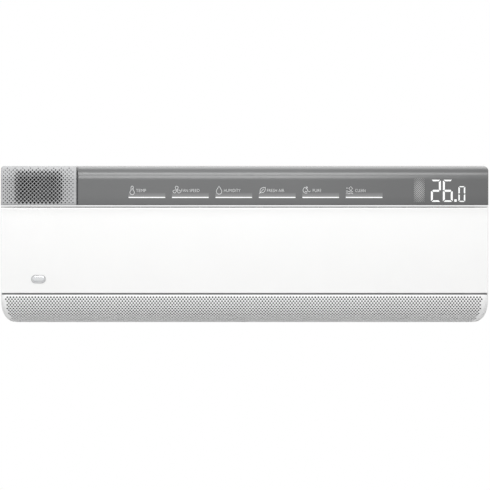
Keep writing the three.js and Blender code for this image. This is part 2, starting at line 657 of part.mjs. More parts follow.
function fanMotor() {
  const { left, right, radius, boss } = FAN_MOTOR;
  const can = rodX(FAN.y, FAN.z, radius, left, right, 20);
  const cap = rodX(FAN.y, FAN.z, radius - 12, right - 1, right + 5, 20);
  const nose = rodX(FAN.y, FAN.z, boss, left - 5, left + 1, 16);
  return cut(join(can, cap, nose), rodX(FAN.y, FAN.z, 4.6, left - 8, left + 32, 12));
}

// Ring round the fan motor, on two feet against the chassis.
function motorClamp() {
  const x0 = FAN_MOTOR.right - 15;
  const x1 = FAN_MOTOR.right - 2;
  const inner = FAN_MOTOR.radius + 0.6;
  const band = ringX(FAN.y, FAN.z, inner + 2.9, inner, x0, x1, 20);
  const feet = [-1, 1].map((side) => {
    const z = FAN.z + side * 36;
    return block(x0, x1, FAN.y + 20, -11.4, z - 2, z + 2);
  });
  return cut(join(band, ...feet), rodX(FAN.y, FAN.z, inner, x0 - 1, x1 + 1, 20));
}

function fanBearing() {
  const inner = DUCT.left - DUCT.wall - 0.4;
  const sleeve = rodX(FAN.y, FAN.z, 16, DUCT.left - 17, inner, 20);
  const flange = rodX(FAN.y, FAN.z, 20, DUCT.left - 8, inner, 20);
  return cut(join(sleeve, flange), rodX(FAN.y, FAN.z, 4.5, DUCT.left - 20, DUCT.left, 12));
}

// ---------------------------------------------------------------- electrics

function manualButton() {
  const { x, z, radius } = MANUAL_BUTTON;
  const stem = rodY(x, z, radius, CASE_FRONT - 0.3, -214, 12);
  const collar = rodY(x, z, radius + 2, -215.8, -213.8, 12);
  return join(stem, collar);
}

// Tray of the control electronics, open to the front.
function electricalBox() {
  const { left, right, front, back, bottom, top, wall } = ELECTRICAL_BOX;
  const outer = block(left, right, front, back, bottom, top);
  const hollow = block(left + wall, right - wall, -FAR, back - wall, bottom + wall, top - wall);
  const lugs = [-48, 38].map((z) => block(DUCT.right + DUCT.wall + 0.3, left + 1, -185, -165, z, z + 8));
  return cut(join(outer, ...lugs), hollow);
}

function mainBoard() {
  const { left, right, back, bottom, top } = ELECTRICAL_BOX;
  return block(left + 3, right - 3, back - 12, back - 10.4, bottom + 4, top - 4);
}

function terminalBlock() {
  const { left, right, back, bottom } = ELECTRICAL_BOX;
  return block(left + 8, right - 8, back - 34, back - 13, bottom + 10, bottom + 30);
}

// ---------------------------------------------------------------- fresh-air module

// Scroll housing round the blower, with a duct that rises to the grille. `inset` draws it in.
function voluteShape(inset) {
  const s = new THREE.Shape();
  const start = THREE.MathUtils.degToRad(110);
  const end = THREE.MathUtils.degToRad(-180);
  const steps = 18;
  const along = Array.from({ length: steps + 1 }, (_, i) => {
    const a = start + ((end - start) * i) / steps;
    const r = 51 + (14 * i) / steps - inset;
    return [BLOWER.y + r * Math.cos(a), BLOWER.z + r * Math.sin(a)];
  });
  along.forEach(([y, z], i) => (i ? s.lineTo(y, z) : s.moveTo(y, z)));
  s.lineTo(VOLUTE.front + 14 + inset, 52);
  s.lineTo(VOLUTE.front - inset, 85 + inset);
  s.lineTo(VOLUTE.front - inset, VOLUTE.top - inset);
  s.lineTo(VOLUTE.front + 36 + inset, VOLUTE.top - inset);
  s.quadraticCurveTo(-147 - inset, 115, -146 - inset, 62);
  s.closePath();
  return s;
}

function freshAirVolute() {
  const { left, right, wall } = VOLUTE;
  const housing = alongX(voluteShape(0), left, right, 6);
  const hollow = alongX(voluteShape(wall), left + wall, right - wall, 6);
  const inlet = rodX(BLOWER.y, BLOWER.z, BLOWER.inlet, left - 4, left + 6, 20);
  const motorHole = rodX(BLOWER.y, BLOWER.z, 10, right - 6, right + 8, 14);
  return cut(housing, hollow, inlet, motorHole);
}

function freshAirImpeller() {
  const { y, z, radius, left, right, blades: count } = BLOWER;
  const plate = rodX(y, z, radius, right - 2, right, 20);
  const crown = ringX(y, z, radius, 35, left, left + 3, 20);
  const hub = rodX(y, z, 9, right - 18, right, 12);
  const shaft = rodX(y, z, 3, right - 1, right + 22, 10);
  const blades = Array.from({ length: count }, (_, i) => {
    const a = (i / count) * 2 * Math.PI;
    const corner = (r, turn) => [y + r * Math.cos(a + turn), z + r * Math.sin(a + turn)];
    const outline = [corner(35.2, 0.06), corner(44.5, -0.12), corner(44.5, -0.16), corner(35.2, 0.01)];
    return alongX(shapeOf(outline), left + 1, right - 1);
  });
  return join(plate, crown, hub, shaft, ...blades);
}

function freshAirMotor() {
  const { y, z } = BLOWER;
  const seat = VOLUTE.right;
  const can = rodX(y, z, 27, seat + 4, seat + 20, 20);
  const flange = rodX(y, z, 32, seat + 0.6, seat + 3.5, 20);
  const boss = rodX(y, z, 27, seat + 3, seat + 5, 20);
  return cut(join(can, flange, boss), rodX(y, z, 3.6, seat - 2, seat + 18, 10));
}

// Filter cartridge of the fresh-air path, with a lid flush with the top and a finger grip in it.
function hepaCartridge() {
  const { left, right, front, rear, bottom, lid: lidBottom } = CARTRIDGE;
  const body = block(left, right, front, rear, bottom, TOP - 2);
  const lid = block(left - 3, right + 3, front - 2, rear + 2, lidBottom, TOP);
  const grip = block(left + 30, right - 30, front + 8, rear - 8, TOP - 1.8, FAR);
  return cut(join(body, lid), grip);
}

function freshAirSpigot() {
  const { x, z, radius, wall, front, back } = SPIGOT;
  const tube = rodY(x, z, radius, front, back);
  const flange = rodY(x, z, radius + 2.3, -61.6, -58.6);
  const lip = rodY(x, z, radius + 1.2, back - 5, back - 2);
  return cut(join(tube, flange, lip), rodY(x, z, radius - wall, front - 6, back + 4));
}

// ---------------------------------------------------------------- refrigerant pipes

// Tube from the coil, down the right-hand end and back along the pipe channel.
function pipe({ radius, x, y, z, coilZ, endX }) {
  const fromCoil = rodX(y, coilZ, radius, COIL.right + 4, x, 12);
  const down = rodZ(x, y, radius, z, coilZ, 12);
  const alongBack = rodX(y, z, radius, endX, x, 12);
  const elbows = [coilZ, z].map((height) =>
    solidOf(new THREE.SphereGeometry(radius * 1.04, 12, 8).translate(x, y, height)));
  return join(fromCoil, down, alongBack, ...elbows);
}

function flareNut({ radius, y, z, endX }) {
  const body = rodX(y, z, radius * 1.9, endX - radius * 3, endX - 0.5, 6);
  return cut(body, rodX(y, z, radius * 0.8, endX - radius * 3 - 1, endX, 8));
}

// ---------------------------------------------------------------- materials

function plastic(color, roughness = 0.45) {
  return new THREE.MeshStandardMaterial({ color, roughness, metalness: 0 });
}

function metal(color, roughness = 0.35) {
  return new THREE.MeshStandardMaterial({ color, roughness, metalness: 1 });
}

const MATERIALS = {
  whiteGloss: plastic(0xf6f6f6, 0.25),
  whiteShell: plastic(0xeeeeec, 0.45),
  silverPlastic: plastic(0xbdbdbd, 0.4),
  smokeGloss: plastic(0x6f7070, 0.2),
  darkPlastic: plastic(0x3a3b3d, 0.55),
  innerPlastic: plastic(0xd8d9d6, 0.55),
  circuitBoard: plastic(0x2f6b3f, 0.5),
  rubber: plastic(0x222222, 0.8),
  filterNet: plastic(0x8f9599, 0.7),
  filterPaper: plastic(0xf0efe8, 0.9),
  aluminium: metal(0xb9bdc0),
  galvanised: metal(0xa9adb0, 0.45),
  copper: metal(0xb87348, 0.3),
  brass: metal(0xc5a253, 0.3),
};

// ---------------------------------------------------------------- assembly

const unit = new THREE.Group();

function place(name, solid, material, parent = unit) {
  const mesh = new THREE.Mesh(geometryOf(solid), MATERIALS[material]);
  mesh.name = name;
  parent.add(mesh);
  return mesh;
}

function frameAt(x, y, z, tilt = 0) {
  const frame = new THREE.Group();
  frame.position.set(x, y, z);
  frame.rotation.x = tilt;
  unit.add(frame);
  return frame;
}

// Casing and front.
place("mounting_plate", mountingPlate(), "galvanised");
place("rear_chassis", rearChassis(), "innerPlastic");
place("left_end_cover", leftEndCover(), "whiteShell");
place("right_end_cover", rightEndCover(), "whiteShell");
place("top_cover", topCover(), "whiteShell");
place("bottom_cover", bottomCover(), "whiteShell");
place("front_frame", frontFrame(), "whiteShell");
place("display_carrier", displayCarrier(), "darkPlastic");
place("display_panel", stripShell(STRIP_SPLIT + SPLIT_GAP / 2, HALF + 1), "smokeGloss");
place("fresh_air_grille", stripShell(-HALF - 1, STRIP_SPLIT - SPLIT_GAP / 2), "silverPlastic");
place("display_board", block(-250, 465, -221.3, -219.8, 88, 126), "circuitBoard");
place("accent_trim", accentTrim(), "whiteGloss");
place("front_panel", frontPanel(), "whiteGloss");
place("air_flap", airFlap(), "whiteShell");

// Air path.
place("top_grille", topGrille(), "whiteShell");
place("left_filter", filterScreen(FILTER.left, FILTER.middle - FILTER.gap), "filterNet");
place("right_filter", filterScreen(FILTER.middle + FILTER.gap, FILTER.right), "filterNet");
for (const [name, slab] of Object.entries(COIL_SLABS)) {
  place(name, coilSlab(slab.corner, slab.along, slab.length), "aluminium");
}
place("evaporator_left_plate", coilEndPlate(COIL.left - 2.2), "galvanised");
place("evaporator_right_plate", coilEndPlate(COIL.right + 0.6), "galvanised");
place("drain_pan", drainPan(), "innerPlastic");
place("cross_flow_fan", crossFlowFan(), "darkPlastic");
place("air_vane", airVane(), "whiteShell", frameAt(0, VANE.y, VANE.z, VANE.tilt));
for (const [group, first] of [["left", LOUVER_LEFT_X], ["right", LOUVER_RIGHT_X]]) {
  louverPlaces(first).forEach((x, i) => {
    place(`${group}_louver_${i + 1}`, louverFin(), "whiteShell", frameAt(x, LOUVER.y, LOUVER.z, FLOW_TILT));
  });
  const firstAxis = frameAt(first, LOUVER.y, LOUVER.z, FLOW_TILT);
  const bar = place(`${group}_link_bar`, linkBar(), "innerPlastic", firstAxis);
  bar.position.y = LINK_OFFSET;
  const motor = place(`${group}_louver_motor`, louverMotor(), "galvanised", firstAxis);
  motor.position.z = -LOUVER.down - 14;
}

// Drives.
place("fan_motor", fanMotor(), "galvanised");
place("fan_motor_shaft", rodX(FAN.y, FAN.z, 4, FAN.right - 25, 436, 12), "galvanised");
place("fan_motor_clamp", motorClamp(), "innerPlastic");
place("fan_bearing", fanBearing(), "rubber");
place("flap_motor", flapMotor(), "galvanised", frameAt(450, FLAP_AXIS.y, FLAP_AXIS.z));
place("vane_motor", vaneMotor(), "galvanised", frameAt(DUCT.right + DUCT.wall + 0.6, VANE.y, VANE.z));

// Electrics.
place("electrical_box", electricalBox(), "innerPlastic");
place("main_board", mainBoard(), "circuitBoard");
place("terminal_block", terminalBlock(), "darkPlastic");
place("manual_button", manualButton(), "whiteGloss");

// Fresh-air module.
place("fresh_air_volute", freshAirVolute(), "innerPlastic");
place("fresh_air_impeller", freshAirImpeller(), "darkPlastic");
place("fresh_air_motor", freshAirMotor(), "galvanised");
place("hepa_cartridge", hepaCartridge(), "filterPaper");
place("fresh_air_spigot", freshAirSpigot(), "darkPlastic");

// Refrigerant pipes.
place("gas_pipe", pipe(GAS), "copper");
place("liquid_pipe", pipe(LIQUID), "copper");
place("gas_flare_nut", flareNut(GAS), "brass");
place("liquid_flare_nut", flareNut(LIQUID), "brass");

export default unit;
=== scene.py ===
# Looks of the wall-mounted indoor unit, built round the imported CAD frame.
# Metres, +Z up, front towards -Y. Lengths below are written in millimetres and scaled by MM.

import json
import math

import bmesh
import bpy
from mathutils import Matrix, Vector


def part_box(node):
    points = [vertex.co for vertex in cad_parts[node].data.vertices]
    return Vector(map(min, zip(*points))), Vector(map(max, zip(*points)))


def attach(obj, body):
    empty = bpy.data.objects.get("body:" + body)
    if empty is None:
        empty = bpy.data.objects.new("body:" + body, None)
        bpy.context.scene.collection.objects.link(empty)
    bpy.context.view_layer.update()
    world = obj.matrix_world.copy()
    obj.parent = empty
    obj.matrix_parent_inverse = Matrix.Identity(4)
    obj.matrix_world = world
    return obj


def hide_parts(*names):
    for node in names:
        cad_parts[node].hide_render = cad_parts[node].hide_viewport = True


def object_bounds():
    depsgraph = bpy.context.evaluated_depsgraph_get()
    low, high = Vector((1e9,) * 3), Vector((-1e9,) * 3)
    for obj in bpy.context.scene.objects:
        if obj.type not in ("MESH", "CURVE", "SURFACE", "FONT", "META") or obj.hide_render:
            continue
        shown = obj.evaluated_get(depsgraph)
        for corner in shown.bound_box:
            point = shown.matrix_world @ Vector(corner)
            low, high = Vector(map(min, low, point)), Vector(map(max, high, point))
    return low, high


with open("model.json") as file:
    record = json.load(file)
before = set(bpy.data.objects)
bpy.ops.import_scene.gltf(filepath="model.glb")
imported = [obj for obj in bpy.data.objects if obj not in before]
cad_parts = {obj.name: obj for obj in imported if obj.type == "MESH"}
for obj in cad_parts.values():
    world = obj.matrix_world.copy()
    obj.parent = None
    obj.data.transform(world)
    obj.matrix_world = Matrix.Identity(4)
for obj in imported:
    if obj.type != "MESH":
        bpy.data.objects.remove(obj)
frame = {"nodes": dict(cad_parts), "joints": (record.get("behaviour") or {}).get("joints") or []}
cad_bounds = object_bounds()

MM = 0.001


def in_mm(point):
    """A place of the frame in whole micrometres, written in millimetres."""
    return Vector([round(value / MM, 3) for value in point])


def node_box(name):
    """Lowest and highest corner of a CAD node."""
    return [in_mm(corner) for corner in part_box(name)]


def joint_place(name):
    """A point on a joint's axis."""
    return next(in_mm(joint["pos_m"]) for joint in frame["joints"] if joint["name"] == name)


# ------------------------------------------------------------------ driving dimensions, mm

UNIT_LOW, UNIT_HIGH = (in_mm(corner) for corner in cad_bounds)
HALF = UNIT_HIGH.x
TOP = UNIT_HIGH.z
BOTTOM = UNIT_LOW.z
FRONT = UNIT_LOW.y

# The strip along the top: the grille and the display cover share one bent face.
GRILLE_LOW, GRILLE_HIGH = node_box("fresh_air_grille")
GRILLE_RIGHT = GRILLE_HIGH.x
DISPLAY_LEFT = node_box("display_panel")[0].x
STRIP_REAR = node_box("top_cover")[0].y
STRIP_BOTTOM = round(GRILLE_LOW.z - 0.2, 3)
BEND_Y = -197.0
BEND_Z = 131.0
BEND_DEPTH = BEND_Y - FRONT
BEND_HEIGHT = TOP - BEND_Z
BEND_TURN = 157.4  # height past which places are measured along the surface
LEFT_CORNER = 5.5
RIGHT_CORNER = 9.0
STRIP_SIDE_ROLL = 1.2
STRIP_FOOT_ROLL = 2.4
DISPLAY_THICK = 3.0

GRILLE_PITCH = 7.92
GRILLE_ROW = 3.93
GRILLE_FIRST = (-494.5, 84.9)
GRILLE_LAST_LINE = 18
GRILLE_THICK = 1.6
PINHOLE = (1.3, 1.2)
OPEN_CENTRE = -423.9
OPEN_HALF = 48.6
# Thickness of the dark sheet behind the grille that stands in as painted shade.
SHADE_SHEET_THICK = 0.7

INLAY_FACE = FRONT - 0.12
INLAY_BACK = FRONT + 0.3
KEY_LEFT = -238.2
KEY_PITCH = 89.12
KEY_WIDTH = 75.7
KEY_COUNT = 6
BAR_LOW = 94.4
BAR_HIGH = 96.7
BAR_ROUND = 1.2
GLOW_HIGH = 105.2
LINE = 0.9
ICON_Z = 110.4
LABEL_HIGH = 6.0
LABEL_DROP = 3.6
DOT_PITCH = 2.05
DOT_FIRST = (348.0, 86.8)

PANEL_LOW, PANEL_HIGH = node_box("front_panel")
PANEL_TOP = PANEL_HIGH.z
PANEL_BOTTOM = PANEL_LOW.z
PANEL_HALF = PANEL_HIGH.x
PANEL_THICK = 4.0
PANEL_BACK = FRONT + PANEL_THICK
PANEL_EDGE_ROLL = 1.1
PANEL_SIDE_ROLL = 2.2
PANEL_TOP_ROLL = 2.6  # large enough to clear the hinge pocket as the panel swings up
PANEL_FLARE_HIGH = 24.0
PANEL_FLARE_DEEP = 1.6
HINGE = joint_place("front_panel_hinge")

FLAP_HALF = node_box("air_flap")[1].x
FLAP_Z = node_box("air_flap")[1].z
FLAP_RADIUS = FLAP_Z - BOTTOM
FLAP_Y = FRONT + FLAP_RADIUS
FLAP_REAR = -110.0
FLAP_AXIS = joint_place("air_flap_hinge")
CORNER_WIDE = 34.0
CORNER_HIGH = 49.0
CORNER_POWER = 2.4
FLAP_SIDE_ROLL = 5.0
FLAP_TOP_ROLL = 0.8
FLAP_PITCH = 6.38
FLAP_ROW = 4.1
FLAP_FIRST = (-486.6, 5.2)
FLAP_HOLE = 1.82
FLAP_SKIN = 1.0
FLAP_MARGIN_LEFT = 8.0
FLAP_MARGIN_RIGHT = 11.5

FILTER_LEFT = node_box("left_filter")[0].x
FILTER_RIGHT = node_box("right_filter")[1].x
FILTER_MIDDLE = (FILTER_LEFT + FILTER_RIGHT) / 2
FILTER_FOOT = node_box("left_filter")[0].z
FILTER_LEAN = math.radians(10.5)
FILTER_THICK = 3.5
WINDOW_LOW = -88.0
WINDOW_HIGH = 56.0
FRAME_SCREW_Y = -217.7

VANE = joint_place("air_vane_hinge")
VANE_CHORD = 58.0
VANE_TILT = math.radians(23.0)

FAN = joint_place("cross_flow_fan_spin")
FAN_SECTIONS = 9
FAN_BLADES = 35
IMPELLER = joint_place("fresh_air_impeller_spin")
IMPELLER_BLADES = 32

COIL_LEFT = node_box("evaporator_front")[0].x
COIL_RIGHT = node_box("evaporator_front")[1].x
COIL_THICK = 22.0
FIN_PITCH = 1.9
TUBE_PITCH = 19.0
TUBE_RADIUS = 3.4
# Each slab: its outer face's foot as (y, z), the angle it rises at, and its length.
SLABS = {
    "evaporator_front": ((-204.0, -64.0), math.radians(79.5), 94.0),
    "evaporator_top": ((-182.0, 46.0), math.atan2(0.8, 0.6), 88.0),
    "evaporator_rear": ((-92.0, 116.0), math.atan2(-0.8, 0.6), 76.0),
}

GAS_ROUTE = [(381, -38, 74), (423, -38, 74), (423, -38, -112), (-70, -38, -112)]
LIQUID_ROUTE = [(381, -22, 62), (435, -22, 62), (435, -22, -131), (-40, -22, -131)]

# ------------------------------------------------------------------ mesh helpers


def add_object(name, mesh, material, body="unit", replaced=()):
    """Links a mesh as a piece that rides a body and perhaps stands for CAD nodes."""
    piece = bpy.data.objects.new(name, mesh)
    bpy.context.scene.collection.objects.link(piece)
    mesh.materials.append(material)
    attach(piece, body)
    if replaced:
        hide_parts(*replaced)


def soften(mesh, angle=35.0):
    """Smooth shading, with edges sharper than the angle kept crisp."""
    mesh.shade_smooth()
    mesh.set_sharp_from_angle(angle=math.radians(angle))


def mesh_from(name, verts, faces, angle=35.0):
    """Mesh from millimetre vertices, with doubled points merged."""
    bm = bmesh.new()
    points = [bm.verts.new(Vector(v) * MM) for v in verts]
    for face in faces:
        corners = []
        for index in face:
            if points[index] not in corners:
                corners.append(points[index])
        if len(corners) > 2:
            try:
                bm.faces.new(corners)
            except ValueError:
                pass
    bmesh.ops.remove_doubles(bm, verts=bm.verts, dist=2e-6)
    bmesh.ops.dissolve_degenerate(bm, edges=bm.edges, dist=1e-6)
    loose = [v for v in bm.verts if not v.link_faces]
    bmesh.ops.delete(bm, geom=loose, context="VERTS")
    bmesh.ops.recalc_face_normals(bm, faces=bm.faces)
    mesh = bpy.data.meshes.new(name)
    bm.to_mesh(mesh)
    bm.free()
    soften(mesh, angle)
    return mesh


class Build:
    """Collects closed parts of one piece."""

    def __init__(self):
        self.verts = []
        self.faces = []

    def add(self, verts, faces):
        start = len(self.verts)
        self.verts.extend(verts)
        self.faces.extend([tuple(i + start for i in face) for face in faces])

    def box(self, x0, x1, y0, y1, z0, z1):
        corners = [(x, y, z) for x in (x0, x1) for y in (y0, y1) for z in (z0, z1)]
        sides = [(0, 1, 3, 2), (4, 6, 7, 5), (0, 4, 5, 1), (2, 3, 7, 6), (0, 2, 6, 4), (1, 5, 7, 3)]
        self.add(corners, sides)

    def prism_x(self, outline, x0, x1):
        """Closed (y, z) outline swept along X."""
        self.prism([[(x, y, z) for y, z in outline] for x in (x0, x1)])

    def prism_y(self, outline, y0, y1):
        """Closed (x, z) outline swept along Y."""
        self.prism([[(x, y, z) for x, z in outline] for y in (y0, y1)])

    def prism(self, ends):
        """Two matching outlines, joined by sides and closed."""
        n = len(ends[0])
        sides = [(i, (i + 1) % n, n + (i + 1) % n, n + i) for i in range(n)]
        self.add(ends[0] + ends[1], sides + [tuple(range(n))[::-1], tuple(range(n, 2 * n))])

    def lathe(self, origin, axis, profile, sides=24):
        """Profile of (radius, distance along axis) turned about an axis through origin."""
        axis = Vector(axis).normalized()
        side = axis.orthogonal().normalized()
        other = axis.cross(side)
        rings = []
        for radius, along in profile:
            centre = Vector(origin) + axis * along
            if radius < 1e-6:
                rings.append([len(self.verts)])
                self.verts.append(tuple(centre))
                continue
            ring = []
            for i in range(sides):
                a = 2 * math.pi * i / sides
                ring.append(len(self.verts))
                self.verts.append(tuple(centre + side * radius * math.cos(a) + other * radius * math.sin(a)))
            rings.append(ring)
        for near, far in zip(rings, rings[1:]):
            for i in range(sides):
                j = (i + 1) % sides
                if len(near) == 1 and len(far) == 1:
                    continue
                if len(near) == 1:
                    self.faces.append((near[0], far[i], far[j]))
                elif len(far) == 1:
                    self.faces.append((near[i], far[0], near[j]))
                else:
                    self.faces.append((near[i], far[i], far[j], near[j]))

    def loft(self, rings, closed=False):
        """Skin over rings of points, with its ends filled, or joined to each other if closed."""
        start = len(self.verts)
        n = len(rings[0])
        for ring in rings:
            self.verts.extend(ring)
        count = len(rings)
        for k in range(count if closed else count - 1):
            near = start + k * n
            far = start + (k + 1) % count * n
            self.faces.extend([(near + i, near + (i + 1) % n, far + (i + 1) % n, far + i) for i in range(n)])
        if not closed:
            self.faces.append(tuple(range(start, start + n)))
            self.faces.append(tuple(range(start + (count - 1) * n, start + count * n)))

    def tube(self, path, radius, sides=12):
        """Round tube along a list of points, with closed ends."""
        points = [Vector(p) for p in path]
        normal = None
        rings = []
        for i, point in enumerate(points):
            ahead = points[min(i + 1, len(points) - 1)] - points[max(i - 1, 0)]
            tangent = ahead.normalized()
            if normal is None:
                normal = tangent.orthogonal().normalized()
            normal = (normal - tangent * normal.dot(tangent)).normalized()
            other = tangent.cross(normal)
            ring = []
            for k in range(sides):
                a = 2 * math.pi * k / sides
                ring.append(len(self.verts))
                self.verts.append(tuple(point + (normal * math.cos(a) + other * math.sin(a)) * radius))
            rings.append(ring)
        for near, far in zip(rings, rings[1:]):
            for k in range(sides):
                m = (k + 1) % sides
                self.faces.append((near[k], near[m], far[m], far[k]))
        self.faces.append(tuple(rings[0][::-1]))
        self.faces.append(tuple(rings[-1]))

    def piece(self, name, material, slot, body="unit", replaced=(), angle=35.0):
        add_object(name, mesh_from(name, self.verts, self.faces, angle), material, body, replaced)


def bevel(piece, width, segments=2, angle=40.0):
    mod = piece.modifiers.new("rounded edges", "BEVEL")
    mod.width = width * MM
    mod.segments = segments
    mod.limit_method = "ANGLE"
    mod.angle_limit = math.radians(angle)
    mod.use_clamp_overlap = True
    mod.harden_normals = True
    return mod


def rounded_path(corners, radius, steps=6):
    """Polyline with its inner corners rounded off."""
    points = [Vector(c) for c in corners]
    path = [points[0]]
    for before, corner, after in zip(points, points[1:], points[2:]):
        start = corner + (before - corner).normalized() * radius
        end = corner + (after - corner).normalized() * radius
        for i in range(steps + 1):
            t = i / steps
            path.append(start.lerp(corner, t).lerp(corner.lerp(end, t), t))
    path.append(points[-1])
    return path


# ------------------------------------------------------------------ materials


class Nodes:
    """Short names for building one material's node tree."""

    def __init__(self, name):
        self.material = bpy.data.materials.new(name)
        self.material.use_nodes = True
        self.tree = self.material.node_tree
        self.bsdf = self.tree.nodes["Principled BSDF"]
        coords = self.tree.nodes.new("ShaderNodeTexCoord")
        self.place = coords.outputs["Object"]

    def new(self, kind, **values):
        node = self.tree.nodes.new(kind)
        for key, value in values.items():
            setattr(node, key, value)
        return node

    def link(self, source, target):
        self.tree.links.new(source, target)

    def set(self, **sockets):
        for key, value in sockets.items():
            self.bsdf.inputs[key.replace("_", " ")].default_value = value

    def color(self, source):
        self.link(source, self.bsdf.inputs["Base Color"])

    def roughness(self, source):
        self.link(source, self.bsdf.inputs["Roughness"])

    def noise(self, scale, detail=3.0, rough=0.5, stretch=None):
        node = self.new("ShaderNodeTexNoise")
        node.inputs["Scale"].default_value = scale
        node.inputs["Detail"].default_value = detail
        node.inputs["Roughness"].default_value = rough
        self.link(self.scaled(stretch) if stretch else self.place, node.inputs["Vector"])
        return node.outputs["Fac"]

    def scaled(self, factors):
        node = self.new("ShaderNodeMapping")
        node.inputs["Scale"].default_value = factors
        self.link(self.place, node.inputs["Vector"])
        return node.outputs["Vector"]

    def math(self, operation, first, second=None, third=None, clamp=False):
        node = self.new("ShaderNodeMath", operation=operation)
        node.use_clamp = clamp
        for socket, value in zip(node.inputs, (first, second, third)):
            if value is None:
                continue
            if isinstance(value, (int, float)):
                socket.default_value = value
            else:
                self.link(value, socket)
        return node.outputs["Value"]

    def axes(self):
        node = self.new("ShaderNodeSeparateXYZ")
        self.link(self.place, node.inputs["Vector"])
        return node.outputs["X"], node.outputs["Y"], node.outputs["Z"]

    def ramp(self, factor, low, high, from_min=0.3, from_max=0.7):
        """Number that runs from low to high as the factor runs over its range."""
        node = self.new("ShaderNodeMapRange")
        self.link(factor, node.inputs["Value"])
        node.inputs["From Min"].default_value = from_min
        node.inputs["From Max"].default_value = from_max
        node.inputs["To Min"].default_value = low
        node.inputs["To Max"].default_value = high
        return node.outputs["Result"]

    def mix(self, factor, first, second):
        node = self.new("ShaderNodeMix", data_type="RGBA")
        self.link(factor, node.inputs["Factor"])
        for socket, value in ((node.inputs["A"], first), (node.inputs["B"], second)):
            if isinstance(value, tuple):
                socket.default_value = (*value, 1.0)
            else:
                self.link(value, socket)
        return node.outputs["Result"]

    def bump(self, height, strength, distance):
        node = self.new("ShaderNodeBump")
        node.inputs["Strength"].default_value = strength
        node.inputs["Distance"].default_value = distance * MM
        self.link(height, node.inputs["Height"])
        self.link(node.outputs["Normal"], self.bsdf.inputs["Normal"])


def shade(color, factor):
    return tuple(min(c * factor, 1.0) for c in color)


def moulded(name, color, roughness, grain, grain_depth, grain_strength, tone, **sockets):
    """Moulded plastic or paint: fine grain, slow changes of tone, uneven gloss."""
    n = Nodes(name)
    slow = n.noise(9.0, 4.0)
    n.color(n.mix(n.ramp(slow, 0.0, 1.0), shade(color, 1.0 - tone), shade(color, 1.0 + tone)))
    smear = n.noise(45.0, 5.0, 0.6)
    n.roughness(n.ramp(smear, roughness * 0.88, roughness * 1.12))
    n.bump(n.noise(grain, 2.0), grain_strength, grain_depth)
    n.set(**sockets)
    return n.material


def metal(name, color, roughness, stretch=(1.0, 1.0, 1.0), grain=700.0, tone=0.08):
    """Bare metal with drawing or rolling marks along the short axis of the stretch."""
    n = Nodes(name)
    marks = n.noise(grain, 3.0, 0.6, stretch)
    slow = n.noise(25.0, 5.0, 0.65)
    n.color(n.mix(n.ramp(slow, 0.0, 1.0), shade(color, 1.0 - tone), shade(color, 1.0 + tone)))
    n.roughness(n.ramp(marks, roughness * 0.8, roughness * 1.25))
    n.bump(marks, 0.2, 0.02)
    n.set(Metallic=1.0)
    return n.material


def galvanised():
    """Zinc-plated sheet with its crystal spangle."""
    n = Nodes("zinc-plated steel")
    cells = n.new("ShaderNodeTexVoronoi")
    cells.inputs["Scale"].default_value = 160.0
    n.link(n.place, cells.inputs["Vector"])
    tint = n.new("ShaderNodeSeparateColor")
    n.link(cells.outputs["Color"], tint.inputs["Color"])
    n.color(n.mix(tint.outputs["Red"], (0.50, 0.52, 0.54), (0.66, 0.67, 0.68)))
    n.roughness(n.ramp(tint.outputs["Green"], 0.3, 0.48, 0.0, 1.0))
    n.bump(n.noise(420.0, 3.0), 0.15, 0.02)
    n.set(Metallic=1.0)
    return n.material


def silver_paint():
    """Silver-painted plastic with a fine metallic flake."""
    n = Nodes("silver paint")
    flake = n.noise(5200.0, 1.0)
    slow = n.noise(14.0, 3.0)
    base = n.mix(n.ramp(flake, 0.0, 1.0), (0.38, 0.385, 0.39), (0.47, 0.475, 0.48))
    n.color(n.mix(n.ramp(slow, 0.0, 0.35), base, (0.46, 0.46, 0.465)))
    n.roughness(n.ramp(flake, 0.5, 0.62))
    n.bump(flake, 0.12, 0.01)
    n.set(Specular_IOR_Level=0.35)
    return n.material


def smoked_gloss():
    """Grey tinted display cover: clear coat over a faintly pearly grey, with painted shade darkening it
    towards the right end.
    """
    n = Nodes("smoked display cover")
    x, y, z = n.axes()
    slow = n.noise(7.0, 3.0)
    tone = n.mix(n.ramp(slow, 0.0, 1.0), (0.137, 0.139, 0.140), (0.142, 0.144, 0.145))
    # Painted shade: the base colour darkens from x = 0.1 m towards the right end of the strip.
    right = n.ramp(x, 0.0, 1.0, 0.1, 0.5)
    n.color(n.mix(right, tone, (0.112, 0.113, 0.114)))
    n.roughness(n.ramp(n.noise(60.0, 4.0, 0.6), 0.2, 0.24))
    n.bump(n.noise(900.0, 2.0), 0.05, 0.01)
    n.set(Coat_Weight=0.15, Coat_Roughness=0.2)
    return n.material


def lit(name, color, strength):
    """Light from a display element behind the cover, a little uneven over its area."""
    n = Nodes(name)
    glow = n.noise(260.0, 2.0)
    tone = n.mix(n.ramp(glow, 0.0, 1.0), shade(color, 0.96), shade(color, 1.0))
    n.color(tone)
    n.link(tone, n.bsdf.inputs["Emission Color"])
    n.set(Emission_Strength=strength, Roughness=0.35)
    return n.material


def key_glow(low, high):
    """Soft light above each key bar, fading out upwards between two heights in mm."""
    n = Nodes("key glow")
    x, y, z = n.axes()
    fade = n.ramp(z, 1.0, 0.25, low * MM, high * MM)
    n.color(n.mix(fade, (0.130, 0.132, 0.133), (0.250, 0.252, 0.254)))
    n.roughness(n.ramp(n.noise(60.0, 4.0, 0.6), 0.2, 0.24))
    n.set(Coat_Weight=0.15, Coat_Roughness=0.2)
    return n.material


